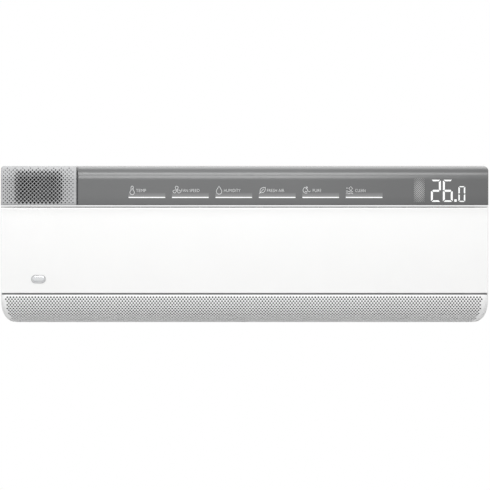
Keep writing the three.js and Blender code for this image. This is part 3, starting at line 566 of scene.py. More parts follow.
def dot_light(centre_x, centre_z, reach_x, reach_z):
    """Fine dots lit from behind, brightest in the middle of their patch."""
    n = Nodes("indicator dots")
    x, y, z = n.axes()
    across = n.math("DIVIDE", n.math("SUBTRACT", x, centre_x * MM), reach_x * MM)
    up = n.math("DIVIDE", n.math("SUBTRACT", z, centre_z * MM), reach_z * MM)
    squared = n.math("ADD", n.math("MULTIPLY", across, across), n.math("MULTIPLY", up, up))
    fade = n.math("SUBTRACT", 1.0, squared, clamp=True)
    tone = n.mix(fade, (0.17, 0.17, 0.17), (0.50, 0.50, 0.50))
    n.color(tone)
    n.link(tone, n.bsdf.inputs["Emission Color"])
    n.set(Emission_Strength=0.25, Roughness=0.35)
    return n.material


def woven_net():
    """Filter net: plastic threads over and under each other, dark between them."""
    n = Nodes("filter net")
    x, y, z = n.axes()
    pitch = 1.25 * MM
    along = n.math("ADD", z, n.math("MULTIPLY", y, 0.83))
    warp = n.math("ABSOLUTE", n.math("SINE", n.math("MULTIPLY", x, math.pi / pitch)))
    weft = n.math("ABSOLUTE", n.math("SINE", n.math("MULTIPLY", along, math.pi / pitch)))
    thread = n.math("MAXIMUM", warp, weft)
    n.color(n.mix(n.ramp(thread, 0.0, 1.0, 0.72, 0.9), (0.05, 0.055, 0.06), (0.34, 0.37, 0.39)))
    n.roughness(n.ramp(n.noise(80.0), 0.5, 0.65))
    n.bump(thread, 0.8, 0.3)
    return n.material


def filter_paper():
    n = Nodes("filter paper")
    fibre = n.noise(900.0, 6.0, 0.7)
    n.color(n.mix(n.ramp(fibre, 0.0, 1.0), (0.72, 0.72, 0.69), (0.86, 0.86, 0.83)))
    n.roughness(n.ramp(fibre, 0.85, 0.95))
    n.bump(fibre, 0.5, 0.08)
    return n.material


def circuit_board():
    """Solder mask with tracks showing faintly through it."""
    n = Nodes("circuit board")
    tracks = n.new("ShaderNodeTexBrick")
    tracks.inputs["Scale"].default_value = 90.0
    tracks.inputs["Mortar Size"].default_value = 0.012
    tracks.inputs["Color1"].default_value = (0.012, 0.10, 0.035, 1.0)
    tracks.inputs["Color2"].default_value = (0.010, 0.085, 0.030, 1.0)
    tracks.inputs["Mortar"].default_value = (0.03, 0.19, 0.07, 1.0)
    spin = n.new("ShaderNodeMapping")
    spin.inputs["Rotation"].default_value = (math.pi / 2, 0.0, 0.0)
    n.link(n.place, spin.inputs["Vector"])
    n.link(spin.outputs["Vector"], tracks.inputs["Vector"])
    n.color(tracks.outputs["Color"])
    n.roughness(n.ramp(n.noise(120.0), 0.3, 0.42))
    n.bump(tracks.outputs["Fac"], 0.3, 0.05)
    return n.material


def foam():
    """Closed-cell pipe insulation."""
    n = Nodes("foam insulation")
    cells = n.new("ShaderNodeTexVoronoi")
    cells.inputs["Scale"].default_value = 900.0
    n.link(n.place, cells.inputs["Vector"])
    n.color(n.mix(n.ramp(n.noise(30.0), 0.0, 1.0), (0.62, 0.62, 0.60), (0.72, 0.72, 0.70)))
    n.roughness(n.ramp(n.noise(200.0), 0.8, 0.95))
    n.bump(cells.outputs["Distance"], 0.6, 0.15)
    return n.material


GLOSS_WHITE = moulded("glossy white plastic", (0.90, 0.90, 0.895), 0.24, 500.0, 0.02, 0.06, 0.006,
                      Coat_Weight=0.2, Coat_Roughness=0.12)
SATIN_WHITE = moulded("satin white plastic", (0.86, 0.86, 0.855), 0.42, 1500.0, 0.03, 0.25, 0.012)
FLAP_WHITE = moulded("flap white plastic", (0.86, 0.86, 0.86), 0.40, 1500.0, 0.02, 0.15, 0.01)
TRIM_WHITE = moulded("trim strip paint", (0.75, 0.75, 0.752), 0.3, 1500.0, 0.02, 0.15, 0.01)
INNER_PLASTIC = moulded("unpainted moulding", (0.66, 0.67, 0.65), 0.5, 900.0, 0.05, 0.35, 0.03)
MID_GREY = moulded("grey moulding", (0.20, 0.20, 0.20), 0.6, 1200.0, 0.05, 0.3, 0.05)
FIN_GREY = moulded("guide fin moulding", (0.10, 0.10, 0.10), 0.6, 1200.0, 0.05, 0.3, 0.05)
# Painted shade: a near-black sheet seen through the flap's holes.
FLAP_SHADE_GREY = moulded("painted flap hole shade", (0.055, 0.055, 0.056), 0.9, 2200.0, 0.15, 0.6, 0.15)
BADGE_GREY = moulded("badge edge paint", (0.50, 0.505, 0.51), 0.35, 1800.0, 0.02, 0.2, 0.02)
DARK_PLASTIC = moulded("black moulding", (0.028, 0.029, 0.031), 0.5, 1200.0, 0.05, 0.4, 0.12)
# Painted shade: a dark grey strip seen in the gap above the flap.
GAP_SHADE_GREY = moulded("painted gap shade", (0.20, 0.20, 0.205), 0.75, 1600.0, 0.05, 0.4, 0.08)
RUBBER = moulded("black rubber", (0.02, 0.02, 0.02), 0.8, 800.0, 0.08, 0.5, 0.15)
CHROME = metal("bright badge metal", (0.74, 0.75, 0.76), 0.16, (1.0, 1.0, 0.08), 2600.0, 0.02)
ALUMINIUM = metal("aluminium fin stock", (0.70, 0.71, 0.72), 0.34, (1.0, 0.1, 0.1), 900.0, 0.05)
STEEL = metal("plated steel", (0.52, 0.53, 0.54), 0.3, (1.0, 1.0, 0.2), 900.0, 0.06)
COPPER = metal("drawn copper", (0.72, 0.36, 0.22), 0.28, (0.1, 1.0, 1.0), 900.0, 0.12)
BRASS = metal("turned brass", (0.70, 0.53, 0.24), 0.24, (0.2, 1.0, 1.0), 1200.0, 0.06)
ZINC = galvanised()
SILVER = silver_paint()
SMOKE = smoked_gloss()
LAMP = lit("display light", (0.88, 0.89, 0.89), 0.16)
ICON = lit("icon light", (0.66, 0.665, 0.67), 0.14)
NET = woven_net()
PAPER = filter_paper()
BOARD = circuit_board()
FOAM = foam()

# ------------------------------------------------------------------ CAD nodes that stay

LOUVERS = tuple(f"{side}_louver_{number}" for side in ("left", "right") for number in range(1, 7))
KEPT_NODES = (
    (ZINC, ("mounting_plate", "evaporator_left_plate", "evaporator_right_plate", "fan_motor",
            "fresh_air_motor")),
    (INNER_PLASTIC, ("rear_chassis", "drain_pan", "left_link_bar", "right_link_bar", "fan_motor_clamp",
                     "electrical_box")),
    (SATIN_WHITE, ("left_end_cover", "right_end_cover", "top_cover", "bottom_cover", "front_frame",
                   *LOUVERS)),
    (DARK_PLASTIC, ("display_carrier", "terminal_block", "fresh_air_volute", "fresh_air_spigot")),
    (STEEL, ("left_louver_motor", "right_louver_motor", "fan_motor_shaft", "flap_motor", "vane_motor")),
    (BOARD, ("display_board", "main_board")),
    (BRASS, ("gas_flare_nut", "liquid_flare_nut")),
    (TRIM_WHITE, ("accent_trim",)),
    (RUBBER, ("fan_bearing",)),
    (GLOSS_WHITE, ("manual_button",)),
)
SMOOTH_UNDER = 32.0  # degrees between two faces
ROUNDED_NODES = (("accent_trim", 0.7), ("mounting_plate", 0.25), ("manual_button", 0.4))


def smoothing_group():
    """Geometry nodes that shade smooth and keep edges over the angle sharp."""
    group = bpy.data.node_groups.new("smooth by angle", "GeometryNodeTree")
    group.interface.new_socket("Geometry", in_out="INPUT", socket_type="NodeSocketGeometry")
    group.interface.new_socket("Geometry", in_out="OUTPUT", socket_type="NodeSocketGeometry")
    start = group.nodes.new("NodeGroupInput")
    end = group.nodes.new("NodeGroupOutput")
    faces = group.nodes.new("GeometryNodeSetShadeSmooth")
    faces.domain = "FACE"
    edges = group.nodes.new("GeometryNodeSetShadeSmooth")
    edges.domain = "EDGE"
    bend = group.nodes.new("GeometryNodeInputMeshEdgeAngle")
    gentle = group.nodes.new("FunctionNodeCompare")
    gentle.operation = "LESS_THAN"
    gentle.inputs["B"].default_value = math.radians(SMOOTH_UNDER)
    group.links.new(bend.outputs["Unsigned Angle"], gentle.inputs["A"])
    group.links.new(gentle.outputs["Result"], edges.inputs["Shade Smooth"])
    group.links.new(start.outputs["Geometry"], faces.inputs["Geometry"])
    group.links.new(faces.outputs["Geometry"], edges.inputs["Geometry"])
    group.links.new(edges.outputs["Geometry"], end.inputs["Geometry"])
    return group


def dress_kept_nodes():
    group = smoothing_group()
    for material, names in KEPT_NODES:
        for name in names:
            node = frame["nodes"][name]
            node.data.materials.clear()
            node.data.materials.append(material)
            mod = node.modifiers.new("smooth by angle", "NODES")
            mod.node_group = group
    for name, width in ROUNDED_NODES:
        mod = bevel(frame["nodes"][name], width)
        mod.harden_normals = False


dress_kept_nodes()

# ------------------------------------------------------------------ shared surfaces


def strip_profile(v):
    """(y, z) on the strip's outer face: v is the height, and past BEND_TURN it runs on along the surface."""
    if v <= BEND_Z:
        return FRONT, v
    if v <= BEND_TURN:
        lift = (v - BEND_Z) / BEND_HEIGHT
        return BEND_Y - BEND_DEPTH * math.sqrt(max(1.0 - lift * lift, 0.0)), v
    start = math.asin((BEND_TURN - BEND_Z) / BEND_HEIGHT)
    span = (math.pi / 2 - start) * BEND_DEPTH
    along = v - BEND_TURN
    if along < span:
        angle = start + along / BEND_DEPTH
        return BEND_Y - BEND_DEPTH * math.cos(angle), BEND_Z + BEND_HEIGHT * math.sin(angle)
    return min(BEND_Y + along - span, STRIP_REAR), TOP


BEND_REST = math.pi / 2 - math.asin((BEND_TURN - BEND_Z) / BEND_HEIGHT)
STRIP_END = BEND_TURN + BEND_REST * BEND_DEPTH + STRIP_REAR - BEND_Y


def strip_limit(z, radius):
    """Half width of the strip at a height: its top corners are rounded."""
    if z <= TOP - radius:
        return HALF
    rise = min((z - TOP + radius) / radius, 1.0)
    return HALF - radius + radius * math.sqrt(1.0 - rise * rise)


def flap_profile(s):
    """(y, z) on the flap's outer face, s mm along the surface from its top edge."""
    quarter = FLAP_RADIUS * math.pi / 2
    if s <= quarter:
        a = s / FLAP_RADIUS
        return FLAP_Y - FLAP_RADIUS * math.cos(a), FLAP_Z - FLAP_RADIUS * math.sin(a)
    return FLAP_Y + s - quarter, BOTTOM


FLAP_END = FLAP_RADIUS * math.pi / 2 + FLAP_REAR - FLAP_Y


def flap_half(z):
    """Half width of the flap at a height: its lower corners are rounded."""
    drop = (BOTTOM + CORNER_HIGH - z) / CORNER_HIGH
    if drop <= 0.0:
        return FLAP_HALF
    sine = min(drop, 1.0) ** (CORNER_POWER / 2)
    cosine = math.sqrt(max(1.0 - sine * sine, 0.0))
    return FLAP_HALF - CORNER_WIDE * (1.0 - cosine ** (2 / CORNER_POWER))


def roll(distance, radius):
    """How far a surface falls back near its edge, for an edge rounded to a radius."""
    if distance >= radius:
        return 0.0
    short = radius - max(distance, 0.0)
    return radius - math.sqrt(radius * radius - short * short)


def on_profile(profile, v, depth, turn):
    """(y, z) at a depth under a profile. turn is 1 where v runs upwards and -1 where it runs downwards."""
    y, z = profile(v)
    near = profile(v - 0.05)
    far = profile(v + 0.05)
    along = Vector((far[0] - near[0], far[1] - near[1])).normalized()
    return y + turn * along.y * depth, z - turn * along.x * depth


def strip_surface(left, right):
    """Place on the strip between two x limits: the surface point, or one at a depth under it."""
    def place(x, v, depth):
        high = min(max(v, STRIP_BOTTOM), STRIP_END)
        height = strip_profile(high)[1]
        low_x = max(left, -strip_limit(height, LEFT_CORNER))
        high_x = min(right, strip_limit(height, RIGHT_CORNER))
        across = min(max(x, low_x), high_x)
        side_fall = roll(min(across - low_x, high_x - across), STRIP_SIDE_ROLL)
        fall = min(side_fall + roll(high - STRIP_BOTTOM, STRIP_FOOT_ROLL), STRIP_FOOT_ROLL)
        y, z = on_profile(strip_profile, high, depth + fall, 1)
        return across, y, z
    return place


def flap_surface(x, v, depth):
    """Place on the flap, v mm down its curve and at a depth under its face."""
    down = min(max(v, 0.0), FLAP_END)
    limit = flap_half(flap_profile(down)[1])
    across = min(max(x, -limit), limit)
    fall = roll(limit - abs(across), FLAP_SIDE_ROLL) + roll(down, FLAP_TOP_ROLL)
    y, z = on_profile(flap_profile, down, depth + fall, -1)
    return across, y, z


def thick_sheet(name, verts, faces, place, thickness):
    """Closed sheet: flat (x, v) points and faces laid on a curved surface, with the given thickness."""
    bm = bmesh.new()
    spots = {}
    flat = {}
    for x, v in verts:
        outer = place(x, v, 0.0)
        key = tuple(round(c, 2) for c in outer)
        if key not in spots:
            spots[key] = (bm.verts.new(outer), bm.verts.new(place(x, v, thickness)))
        flat[len(flat)] = spots[key]
    for face in faces:
        ring = []
        for index in face:
            if flat[index] not in ring:
                ring.append(flat[index])
        if len(ring) < 3:
            continue
        origin = ring[0][0].co
        arms = [pair[0].co - origin for pair in ring[1:]]
        area = sum((arm.cross(next_arm) for arm, next_arm in zip(arms, arms[1:])), Vector())
        if area.length < 1e-3:
            continue
        try:
            bm.faces.new([pair[0] for pair in ring])
            bm.faces.new([pair[1] for pair in ring[::-1]])
        except ValueError:
            continue
    below = {pair[0]: pair[1] for pair in spots.values()}
    rims = [edge for edge in bm.edges if len(edge.link_faces) == 1 and edge.verts[0] in below]
    for edge in rims:
        loop = edge.link_loops[0]
        start = loop.vert
        end = loop.link_loop_next.vert
        bm.faces.new((end, start, below[start], below[end]))
    loose = [v for v in bm.verts if not v.link_faces]
    bmesh.ops.delete(bm, geom=loose, context="VERTS")
    bmesh.ops.recalc_face_normals(bm, faces=bm.faces)
    bmesh.ops.scale(bm, vec=Vector((MM, MM, MM)), verts=bm.verts)
    mesh = bpy.data.meshes.new(name)
    bm.to_mesh(mesh)
    bm.free()
    soften(mesh, 50.0)
    return mesh


def perforation(pitch, row, columns, rows, first, hole):
    """Flat points and faces of a sheet with a staggered grid of holes, one diamond cell to each hole.

    hole(x, v, line) gives the hole's half width along the axes and along the diagonals, or None.
    first is the (x, v) of the grid's first hole.
    """
    verts = []
    index = {}
    faces = []
    eighth = ((2, 0), (1, 1), (0, 2), (-1, 1), (-2, 0), (-1, -1), (0, -2), (1, -1))

    def corner(ix, iv):
        if (ix, iv) not in index:
            index[ix, iv] = len(verts)
            verts.append((first[0] + ix * pitch / 4, first[1] + iv * row / 2))
        return index[ix, iv]

    for line in rows:
        for column in columns:
            if (column + line) % 2:
                continue
            x = first[0] + column * pitch / 2
            v = first[1] + line * row
            ring = [corner(2 * column + dx, 2 * line + dv) for dx, dv in eighth]
            size = hole(x, v, line)
            if size is None:
                faces.append(tuple(ring))
                continue
            rim = []
            for k in range(8):
                a = k * math.pi / 4
                r = size[k % 2]
                rim.append(len(verts))
                verts.append((x + r * math.cos(a), v + r * math.sin(a)))
            faces.extend([(ring[k], ring[(k + 1) % 8], rim[(k + 1) % 8], rim[k]) for k in range(8)])
    return verts, faces


def flat_grid(xs, vs):
    """Flat points and faces of a plain sheet."""
    verts = [(x, v) for v in vs for x in xs]
    wide = len(xs)
    faces = [(r * wide + c, r * wide + c + 1, (r + 1) * wide + c + 1, (r + 1) * wide + c)
             for r in range(len(vs) - 1) for c in range(wide - 1)]
    return verts, faces


# ------------------------------------------------------------------ fresh-air grille


def grille_hole(x, v, line):
    """Pinholes at the sides that widen into open diamonds over the blower's mouth."""
    if line < 0 or line > GRILLE_LAST_LINE or x < -495.0 or x > -350.5:
        return None
    across, diagonal = PINHOLE
    column = round((x - GRILLE_FIRST[0]) / (GRILLE_PITCH / 2))
    if line == GRILLE_LAST_LINE:
        return PINHOLE if column % 4 == 2 else None
    from_end = min(line, GRILLE_LAST_LINE - 2 - line)
    cut_corner = max(2 - from_end, 0) * GRILLE_PITCH / 4
    inside = OPEN_HALF - cut_corner - abs(x - OPEN_CENTRE)
    if line == GRILLE_LAST_LINE - 1:
        near = min(max(1.0 + inside / 24.0, 0.0), 1.0)
        return across + 0.6 * near, diagonal + 0.4 * near
    if inside < 0.0:
        near = max(1.0 + inside / 22.0, 0.0)
        return across + 0.75 * near, diagonal + 0.5 * near
    share = min(inside / 14.0, 1.0) * min((from_end + 1) / 3.0, 1.0)
    return 2.9 + 0.52 * share, 2.15 + 0.26 * share


def make_grille():
    columns = range(-3, 42)
    rows = range(-3, 32)
    verts, faces = perforation(GRILLE_PITCH, GRILLE_ROW, columns, rows, GRILLE_FIRST, grille_hole)
    front = strip_surface(-HALF, GRILLE_RIGHT)
    mesh = thick_sheet("fresh_air_grille_skin", verts, faces, front, GRILLE_THICK)
    add_object("fresh_air_grille_skin", mesh, SILVER, "unit", ("fresh_air_grille",))


def make_grille_backing():
    """Dark throat of the blower behind the grille, with slanted guide fins on its left, and a dark sheet just
    behind the pinholes as painted shade.
    """
    mouth = (OPEN_CENTRE - OPEN_HALF - 2.0, OPEN_CENTRE + OPEN_HALF + 2.0)
    mouth_top = 148.0
    xs = [-497.0, -486.0, *mouth, GRILLE_RIGHT - 2.0]
    vs = [82.5] + [STRIP_BOTTOM + 5.0 + i * 4.0 for i in range(23)]
    verts, faces = flat_grid(xs, vs)
    solid = [face for face in faces if verts[face[0]][0] != mouth[0] or verts[face[0]][1] > mouth_top]
    surface = strip_surface(-HALF, GRILLE_RIGHT)

    def under_grille(x, v, depth):
        return surface(x, v, depth + GRILLE_THICK + 0.15)

    # Painted shade: a dark sheet just behind the grille, open only over the blower's mouth, darkens the
    # pinholes.
    shade_sheet = thick_sheet("fresh_air_grille_shade_sheet", verts, solid, under_grille, SHADE_SHEET_THICK)
    add_object("fresh_air_grille_shade_sheet", shade_sheet, DARK_PLASTIC)
    throat = Build()
    throat.box(-486.0, GRILLE_RIGHT - 7.0, -204.5, -203.5, 82.0, 142.0)
    throat.piece("fresh_air_throat", DARK_PLASTIC, "dark_plastic")
    fins = Build()
    fin_thick = 3.2
    fin_foot = 86.0
    for i in range(-4, 6):
        x = -466.0 + i * 8.4
        low_x = max(x, -470.0)
        high_x = min(x + 58.0, -418.0)
        if high_x - low_x < 6.0:
            continue
        low_z = fin_foot + low_x - x
        high_z = fin_foot + high_x - x
        slant = [(low_x, low_z), (low_x + fin_thick, low_z), (high_x + fin_thick, high_z), (high_x, high_z)]
        fins.prism_y(slant, -215.0, -204.6)
    fins.piece("fresh_air_guide_fins", FIN_GREY, "inner_plastic")


make_grille()
make_grille_backing()

# ------------------------------------------------------------------ display cover


def make_display_cover():
    edge = [0.0, 0.1, 0.3, 0.7, 1.2, 2.0]
    heights = [STRIP_BOTTOM + step * 1.25 for step in edge] + [100.0, 120.0]
    heights += [BEND_Z + i * (STRIP_END - BEND_Z) / 40 for i in range(41)]
    stations = [DISPLAY_LEFT + step for step in edge] + [-200.0, 0.0, 200.0, 400.0, 480.0]
    stations += [HALF - RIGHT_CORNER * (1.0 - i / 12) - 2.0 for i in range(12)]
    stations += [HALF - step for step in edge[::-1]]
    verts, faces = flat_grid(stations, heights)
    mesh = thick_sheet("display_cover", verts, faces, strip_surface(DISPLAY_LEFT, HALF), DISPLAY_THICK)
    add_object("display_cover", mesh, SMOKE, "unit", ("display_panel",))


make_display_cover()


def key_x(index):
    return KEY_LEFT + index * KEY_PITCH


def arc(cx, cz, radius, start, end, steps=14):
    """Points of an arc, angles in degrees from +X towards +Z."""
    points = []
    for i in range(steps + 1):
        a = math.radians(start + (end - start) * i / steps)
        points.append((cx + radius * math.cos(a), cz + radius * math.sin(a)))
    return points


def round_rect(x0, x1, z0, z1, r, steps=6):
    """Corner-rounded (x, z) rectangle, anticlockwise seen from the front."""
    outline = []
    corners = ((x1 - r, z1 - r), (x0 + r, z1 - r), (x0 + r, z0 + r), (x1 - r, z0 + r))
    for quarter, (cx, cz) in enumerate(corners):
        outline.extend(arc(cx, cz, r, quarter * 90, quarter * 90 + 90, steps))
    return outline


def make_key_bars():
    bars = Build()
    glow = Build()
    for i in range(KEY_COUNT):
        x = key_x(i)
        outline = round_rect(x, x + KEY_WIDTH, BAR_LOW, BAR_HIGH, BAR_ROUND, 4)
        bars.prism_y(outline, INLAY_FACE, INLAY_BACK)
        glow.box(x, x + KEY_WIDTH, FRONT - 0.05, INLAY_BACK, BAR_HIGH + 0.2, GLOW_HIGH)
    bars.piece("key_light_bars", LAMP, "smoke_gloss")
    glow.piece("key_glow_fields", key_glow(BAR_HIGH, GLOW_HIGH), "smoke_gloss")


def stroke(build, points, width, closed=False):
    """Flat raised line through (x, z) points."""
    pts = [Vector(p) for p in points]
    n = len(pts)
    left = []
    right = []
    for i, p in enumerate(pts):
        before = pts[i - 1] if closed or i else p
        after = pts[(i + 1) % n] if closed or i < n - 1 else p
        along = (after - before).normalized()
        side = Vector((-along.y, along.x)) * width / 2
        left.append(p + side)
        right.append(p - side)
    start = len(build.verts)
    for ring in (left, right):
        for y in (INLAY_FACE, INLAY_BACK):
            build.verts.extend([(p.x, y, p.y) for p in ring])
    last = n if closed else n - 1
    for i in range(last):
        j = (i + 1) % n
        for a, b in ((0, 2), (2, 3), (3, 1), (1, 0)):
            build.faces.append(tuple(start + k for k in (a * n + i, a * n + j, b * n + j, b * n + i)))
    if not closed:
        for i in (0, n - 1):
            build.faces.append(tuple(start + k * n + i for k in (0, 1, 3, 2)))


def icon_thermometer(build, x, z):
    stroke(build, arc(x, z - 4.6, 4.6, 120, 420, 20) + arc(x, z + 6.2, 2.3, 0, 180, 8), LINE, True)
    stroke(build, [(x - 0.2, z + 0.8), (x + 0.6, z + 4.6)], LINE)


def icon_fan(build, x, z):
    for turn in (90, 210, 330):
        a = math.radians(turn)
        tip_x = x + 5.4 * math.cos(a)
        tip_z = z + 5.4 * math.sin(a)
        blade = arc(tip_x, tip_z, 3.0, turn - 100, turn + 130, 12)
        stroke(build, [(x + 1.2 * math.cos(a - 0.9), z + 1.2 * math.sin(a - 0.9))] + blade
               + [(x + 1.2 * math.cos(a + 0.9), z + 1.2 * math.sin(a + 0.9))], LINE)
    stroke(build, arc(x, z, 1.2, 0, 360, 10)[:-1], LINE * 0.8, True)


def icon_drop(build, x, z):
    round_part = arc(x, z - 2.6, 5.6, 155, 385, 18)
    stroke(build, round_part + [(x + 3.2, z + 3.4), (x, z + 8.4), (x - 3.2, z + 3.4)], LINE, True)


def icon_leaf(build, x, z):
    def edge(u, bow):
        swell = bow * math.sin(math.pi * u)
        return x - 5.2 + 11.0 * u - 3.4 * swell, z - 5.6 + 11.6 * u + 3.2 * swell

    steps = 14
    outline = [edge(t / steps, 1) for t in range(steps + 1)]
    outline += [edge(1 - t / steps, -1) for t in range(1, steps)]
    stroke(build, outline, LINE, True)
    stroke(build, [(x - 6.8, z - 7.4), (x - 1.6, z - 1.6), (x + 2.4, z + 2.6)], LINE)


def icon_circulate(build, x, z):
    stroke(build, arc(x, z, 6.0, 60, 300, 18), LINE)
    stroke(build, arc(x + 0.6, z, 3.0, -150, 120, 14), LINE)
    stroke(build, [(x + 1.4, z + 8.0), (x + 3.4, z + 5.0), (x + 0.4, z + 3.4)], LINE)
    stroke(build, [(x + 4.6, z - 1.2), (x + 7.2, z - 3.6), (x + 9.4, z - 1.4)], LINE)


def icon_sweep(build, x, z):
    diamond = [(x + 2.6, z + 7.6), (x + 6.6, z + 3.6), (x + 2.6, z - 0.4), (x - 1.4, z + 3.6)]
    stroke(build, diamond, LINE, True)
    for offset in (-2.4, -6.4):
        wave = [(x - 6.8 + 1.1 * k, z + offset + 1.1 * math.sin(k * 0.85)) for k in range(14)]
        stroke(build, wave, LINE)
    stroke(build, [(x - 6.8, z + 4.4), (x - 3.0, z + 4.4)], LINE)


def make_icons():
    icons = Build()
    drawings = (icon_thermometer, icon_fan, icon_drop, icon_leaf, icon_circulate, icon_sweep)
    for i, draw in enumerate(drawings):
        draw(icons, key_x(i) + (10.0 if draw is icon_fan else 7.6), ICON_Z)
    icons.piece("key_icons", ICON, "smoke_gloss")


def make_labels():
    """Plain function words beside the icons."""
    labels = (("TEMP", 15.6, 20.5), ("FAN SPEED", 19.6, 37.0), ("HUMIDITY", 17.8, 33.6),
              ("FRESH AIR", 17.0, 35.0), ("PURE", 21.6, 17.5), ("CLEAN", 19.6, 21.0))
    for i, (word, left, width) in enumerate(labels):
        curve = bpy.data.curves.new(f"label_{i + 1}", "FONT")
        curve.body = word
        curve.size = 1.0
        curve.offset = -0.014
        text = bpy.data.objects.new(f"label_{i + 1}", curve)
        bpy.context.scene.collection.objects.link(text)
        bpy.context.view_layer.update()
        flat = bpy.data.meshes.new_from_object(text.evaluated_get(bpy.context.evaluated_depsgraph_get()))
        bpy.data.objects.remove(text)
        xs = [v.co.x for v in flat.vertices]
        ys = [v.co.y for v in flat.vertices]
        scale_x = width * MM / (max(xs) - min(xs))
        scale_z = LABEL_HIGH * MM / (max(ys) - min(ys))
        for v in flat.vertices:
            v.co = Vector((
                (key_x(i) + left) * MM + (v.co.x - min(xs)) * scale_x,
                INLAY_FACE * MM,
                (ICON_Z - LABEL_DROP) * MM + (v.co.y - min(ys)) * scale_z,
            ))
        flat.materials.clear()
        add_object(f"key_label_{i + 1}", flat, ICON)


SEGMENTS = {"2": "abged", "6": "afgedc", "0": "abcdef"}


def digit(build, figure, x0, z0, width, height, bar, gap):
    """Seven-segment figure with mitred bar ends."""
    x1 = x0 + width
    z1 = z0 + height
    zm = (z0 + z1) / 2
    g = gap / 2
    shapes = {
        "a": [(x0 + g * 2, z1), (x1 - g * 2, z1), (x1 - bar - g, z1 - bar + g), (x0 + bar + g, z1 - bar + g)],
        "d": [(x0 + g * 2, z0), (x1 - g * 2, z0), (x1 - bar - g, z0 + bar - g), (x0 + bar + g, z0 + bar - g)],
        "g": [(x0 + bar * 0.5 + g, zm),
              (x0 + bar + g * 0.6, zm + bar / 2), (x1 - bar - g * 0.6, zm + bar / 2),
              (x1 - bar * 0.5 - g, zm),
              (x1 - bar - g * 0.6, zm - bar / 2), (x0 + bar + g * 0.6, zm - bar / 2)],
    }
    for name, edge, inward, end, toward in (("f", x0, 1, z1, -1), ("b", x1, -1, z1, -1), ("e", x0, 1, z0, 1),
                                            ("c", x1, -1, z0, 1)):
        mid = zm - toward * g * 1.4
        shapes[name] = [(edge, end + toward * g * 2), (edge, mid), (edge + inward * bar * 0.5, mid),
                        (edge + inward * bar, mid - toward * bar * 0.45),
                        (edge + inward * bar, end + toward * (bar + g))]
    for name in SEGMENTS[figure]:
        build.prism_y(shapes[name], INLAY_FACE, INLAY_BACK)


def make_readout():
    lamps = Build()
    foot = 86.5
    digit(lamps, "2", 382.2, foot, 20.4, 45.4, 4.05, 1.6)
    digit(lamps, "6", 406.8, foot, 20.2, 45.4, 4.05, 1.6)
    lamps.box(430.3, 435.1, INLAY_FACE, INLAY_BACK, 86.7, 91.6)
    digit(lamps, "0", 438.6, foot, 14.0, 32.2, 2.9, 1.4)
    lamps.piece("readout_digits", LAMP, "smoke_gloss")

    dots = Build()
    for row in range(24):
        for column in range(row % 2, 11, 2):
            x = DOT_FIRST[0] + column * DOT_PITCH
            z = DOT_FIRST[1] + row * DOT_PITCH
            dots.prism_y(arc(x, z, 0.95, 0, 360, 6)[:-1], FRONT - 0.08, INLAY_BACK)
    dots.piece("indicator_dots", dot_light(358.2, 110.0, 14.0, 27.0), "smoke_gloss")


make_key_bars()
make_icons()
make_labels()
make_readout()

# ------------------------------------------------------------------ front panel


def panel_face(z):
    """y of the panel's front: flat, and flared forward just under the trim."""
    share = max(1.0 - (PANEL_TOP - z) / PANEL_FLARE_HIGH, 0.0)
    return FRONT + PANEL_FLARE_DEEP * (1.0 - share ** 3)


def panel_outline(fall):
    """Closed (y, z) section of the panel, its face set back by fall."""
    face = []
    for k in range(6):
        e = PANEL_EDGE_ROLL * (k / 5) ** 2
        face.append((panel_face(PANEL_BOTTOM + e) + roll(e, PANEL_EDGE_ROLL), PANEL_BOTTOM + e))
    for k in range(1, 12):
        z = PANEL_TOP - PANEL_FLARE_HIGH * (1.0 - k / 13)
        face.append((panel_face(z), z))
    for k in range(8, -1, -1):
        e = PANEL_TOP_ROLL * (k / 8) ** 2
        face.append((panel_face(PANEL_TOP - e) + roll(e, PANEL_TOP_ROLL), PANEL_TOP - e))
    section = [(min(y + fall, PANEL_BACK - 0.2), z) for y, z in face]
    return section + [(PANEL_BACK, PANEL_TOP), (PANEL_BACK, PANEL_BOTTOM)]


def pin_profile(radius, length):
    """Solid round pin with both ends chamfered."""
    neck = radius - 0.4
    return [(0, 0), (neck, 0), (radius, 0.5), (radius, length - 0.5), (neck, length), (0, length)]


def make_front_panel():
    panel = Build()
    edge = [0.0, 0.1, 0.35, 0.8, 1.4, 2.2]
    stations = [-PANEL_HALF + e for e in edge] + [PANEL_HALF - e for e in edge[::-1]]
    rings = []
    for x in stations:
        outline = panel_outline(roll(PANEL_HALF - abs(x), PANEL_SIDE_ROLL))
        rings.append([(x, y, z) for y, z in outline])
    panel.loft(rings)
    panel.prism_x([(-222.2, 73.2), (-222.2, 75.1), (-220.8, 75.1), (-220.8, 73.2)], -498.5, 498.5)
    pin_end = 480.0
    arm_x = 462.0
    for side in (-1, 1):
        x = side * arm_x
        panel.box(x - 3.0, x + 3.0, PANEL_BACK - 1.0, HINGE.y, HINGE.z - 4.0, HINGE.z + 4.0)
        start, end = sorted((side * (arm_x - 3.0), side * pin_end))
        panel.lathe((start, HINGE.y, HINGE.z), (1, 0, 0), pin_profile(3.2, end - start), 20)
    panel.piece("front_panel_shell", GLOSS_WHITE, "white_gloss", "front_panel", ("front_panel",), angle=30.0)

    ribs = Build()
    for z in (-70.0, -20.0, 30.0):
        ribs.box(-430.0, 430.0, PANEL_BACK - 0.2, PANEL_BACK + 0.9, z - 0.8, z + 0.8)
    for i in range(15):
        x = -420.0 + i * 60.0
        ribs.box(x - 0.8, x + 0.8, PANEL_BACK - 0.2, PANEL_BACK + 0.9, -88.0, 52.0)
    ribs.piece("front_panel_ribs", GLOSS_WHITE, "white_gloss", "front_panel")


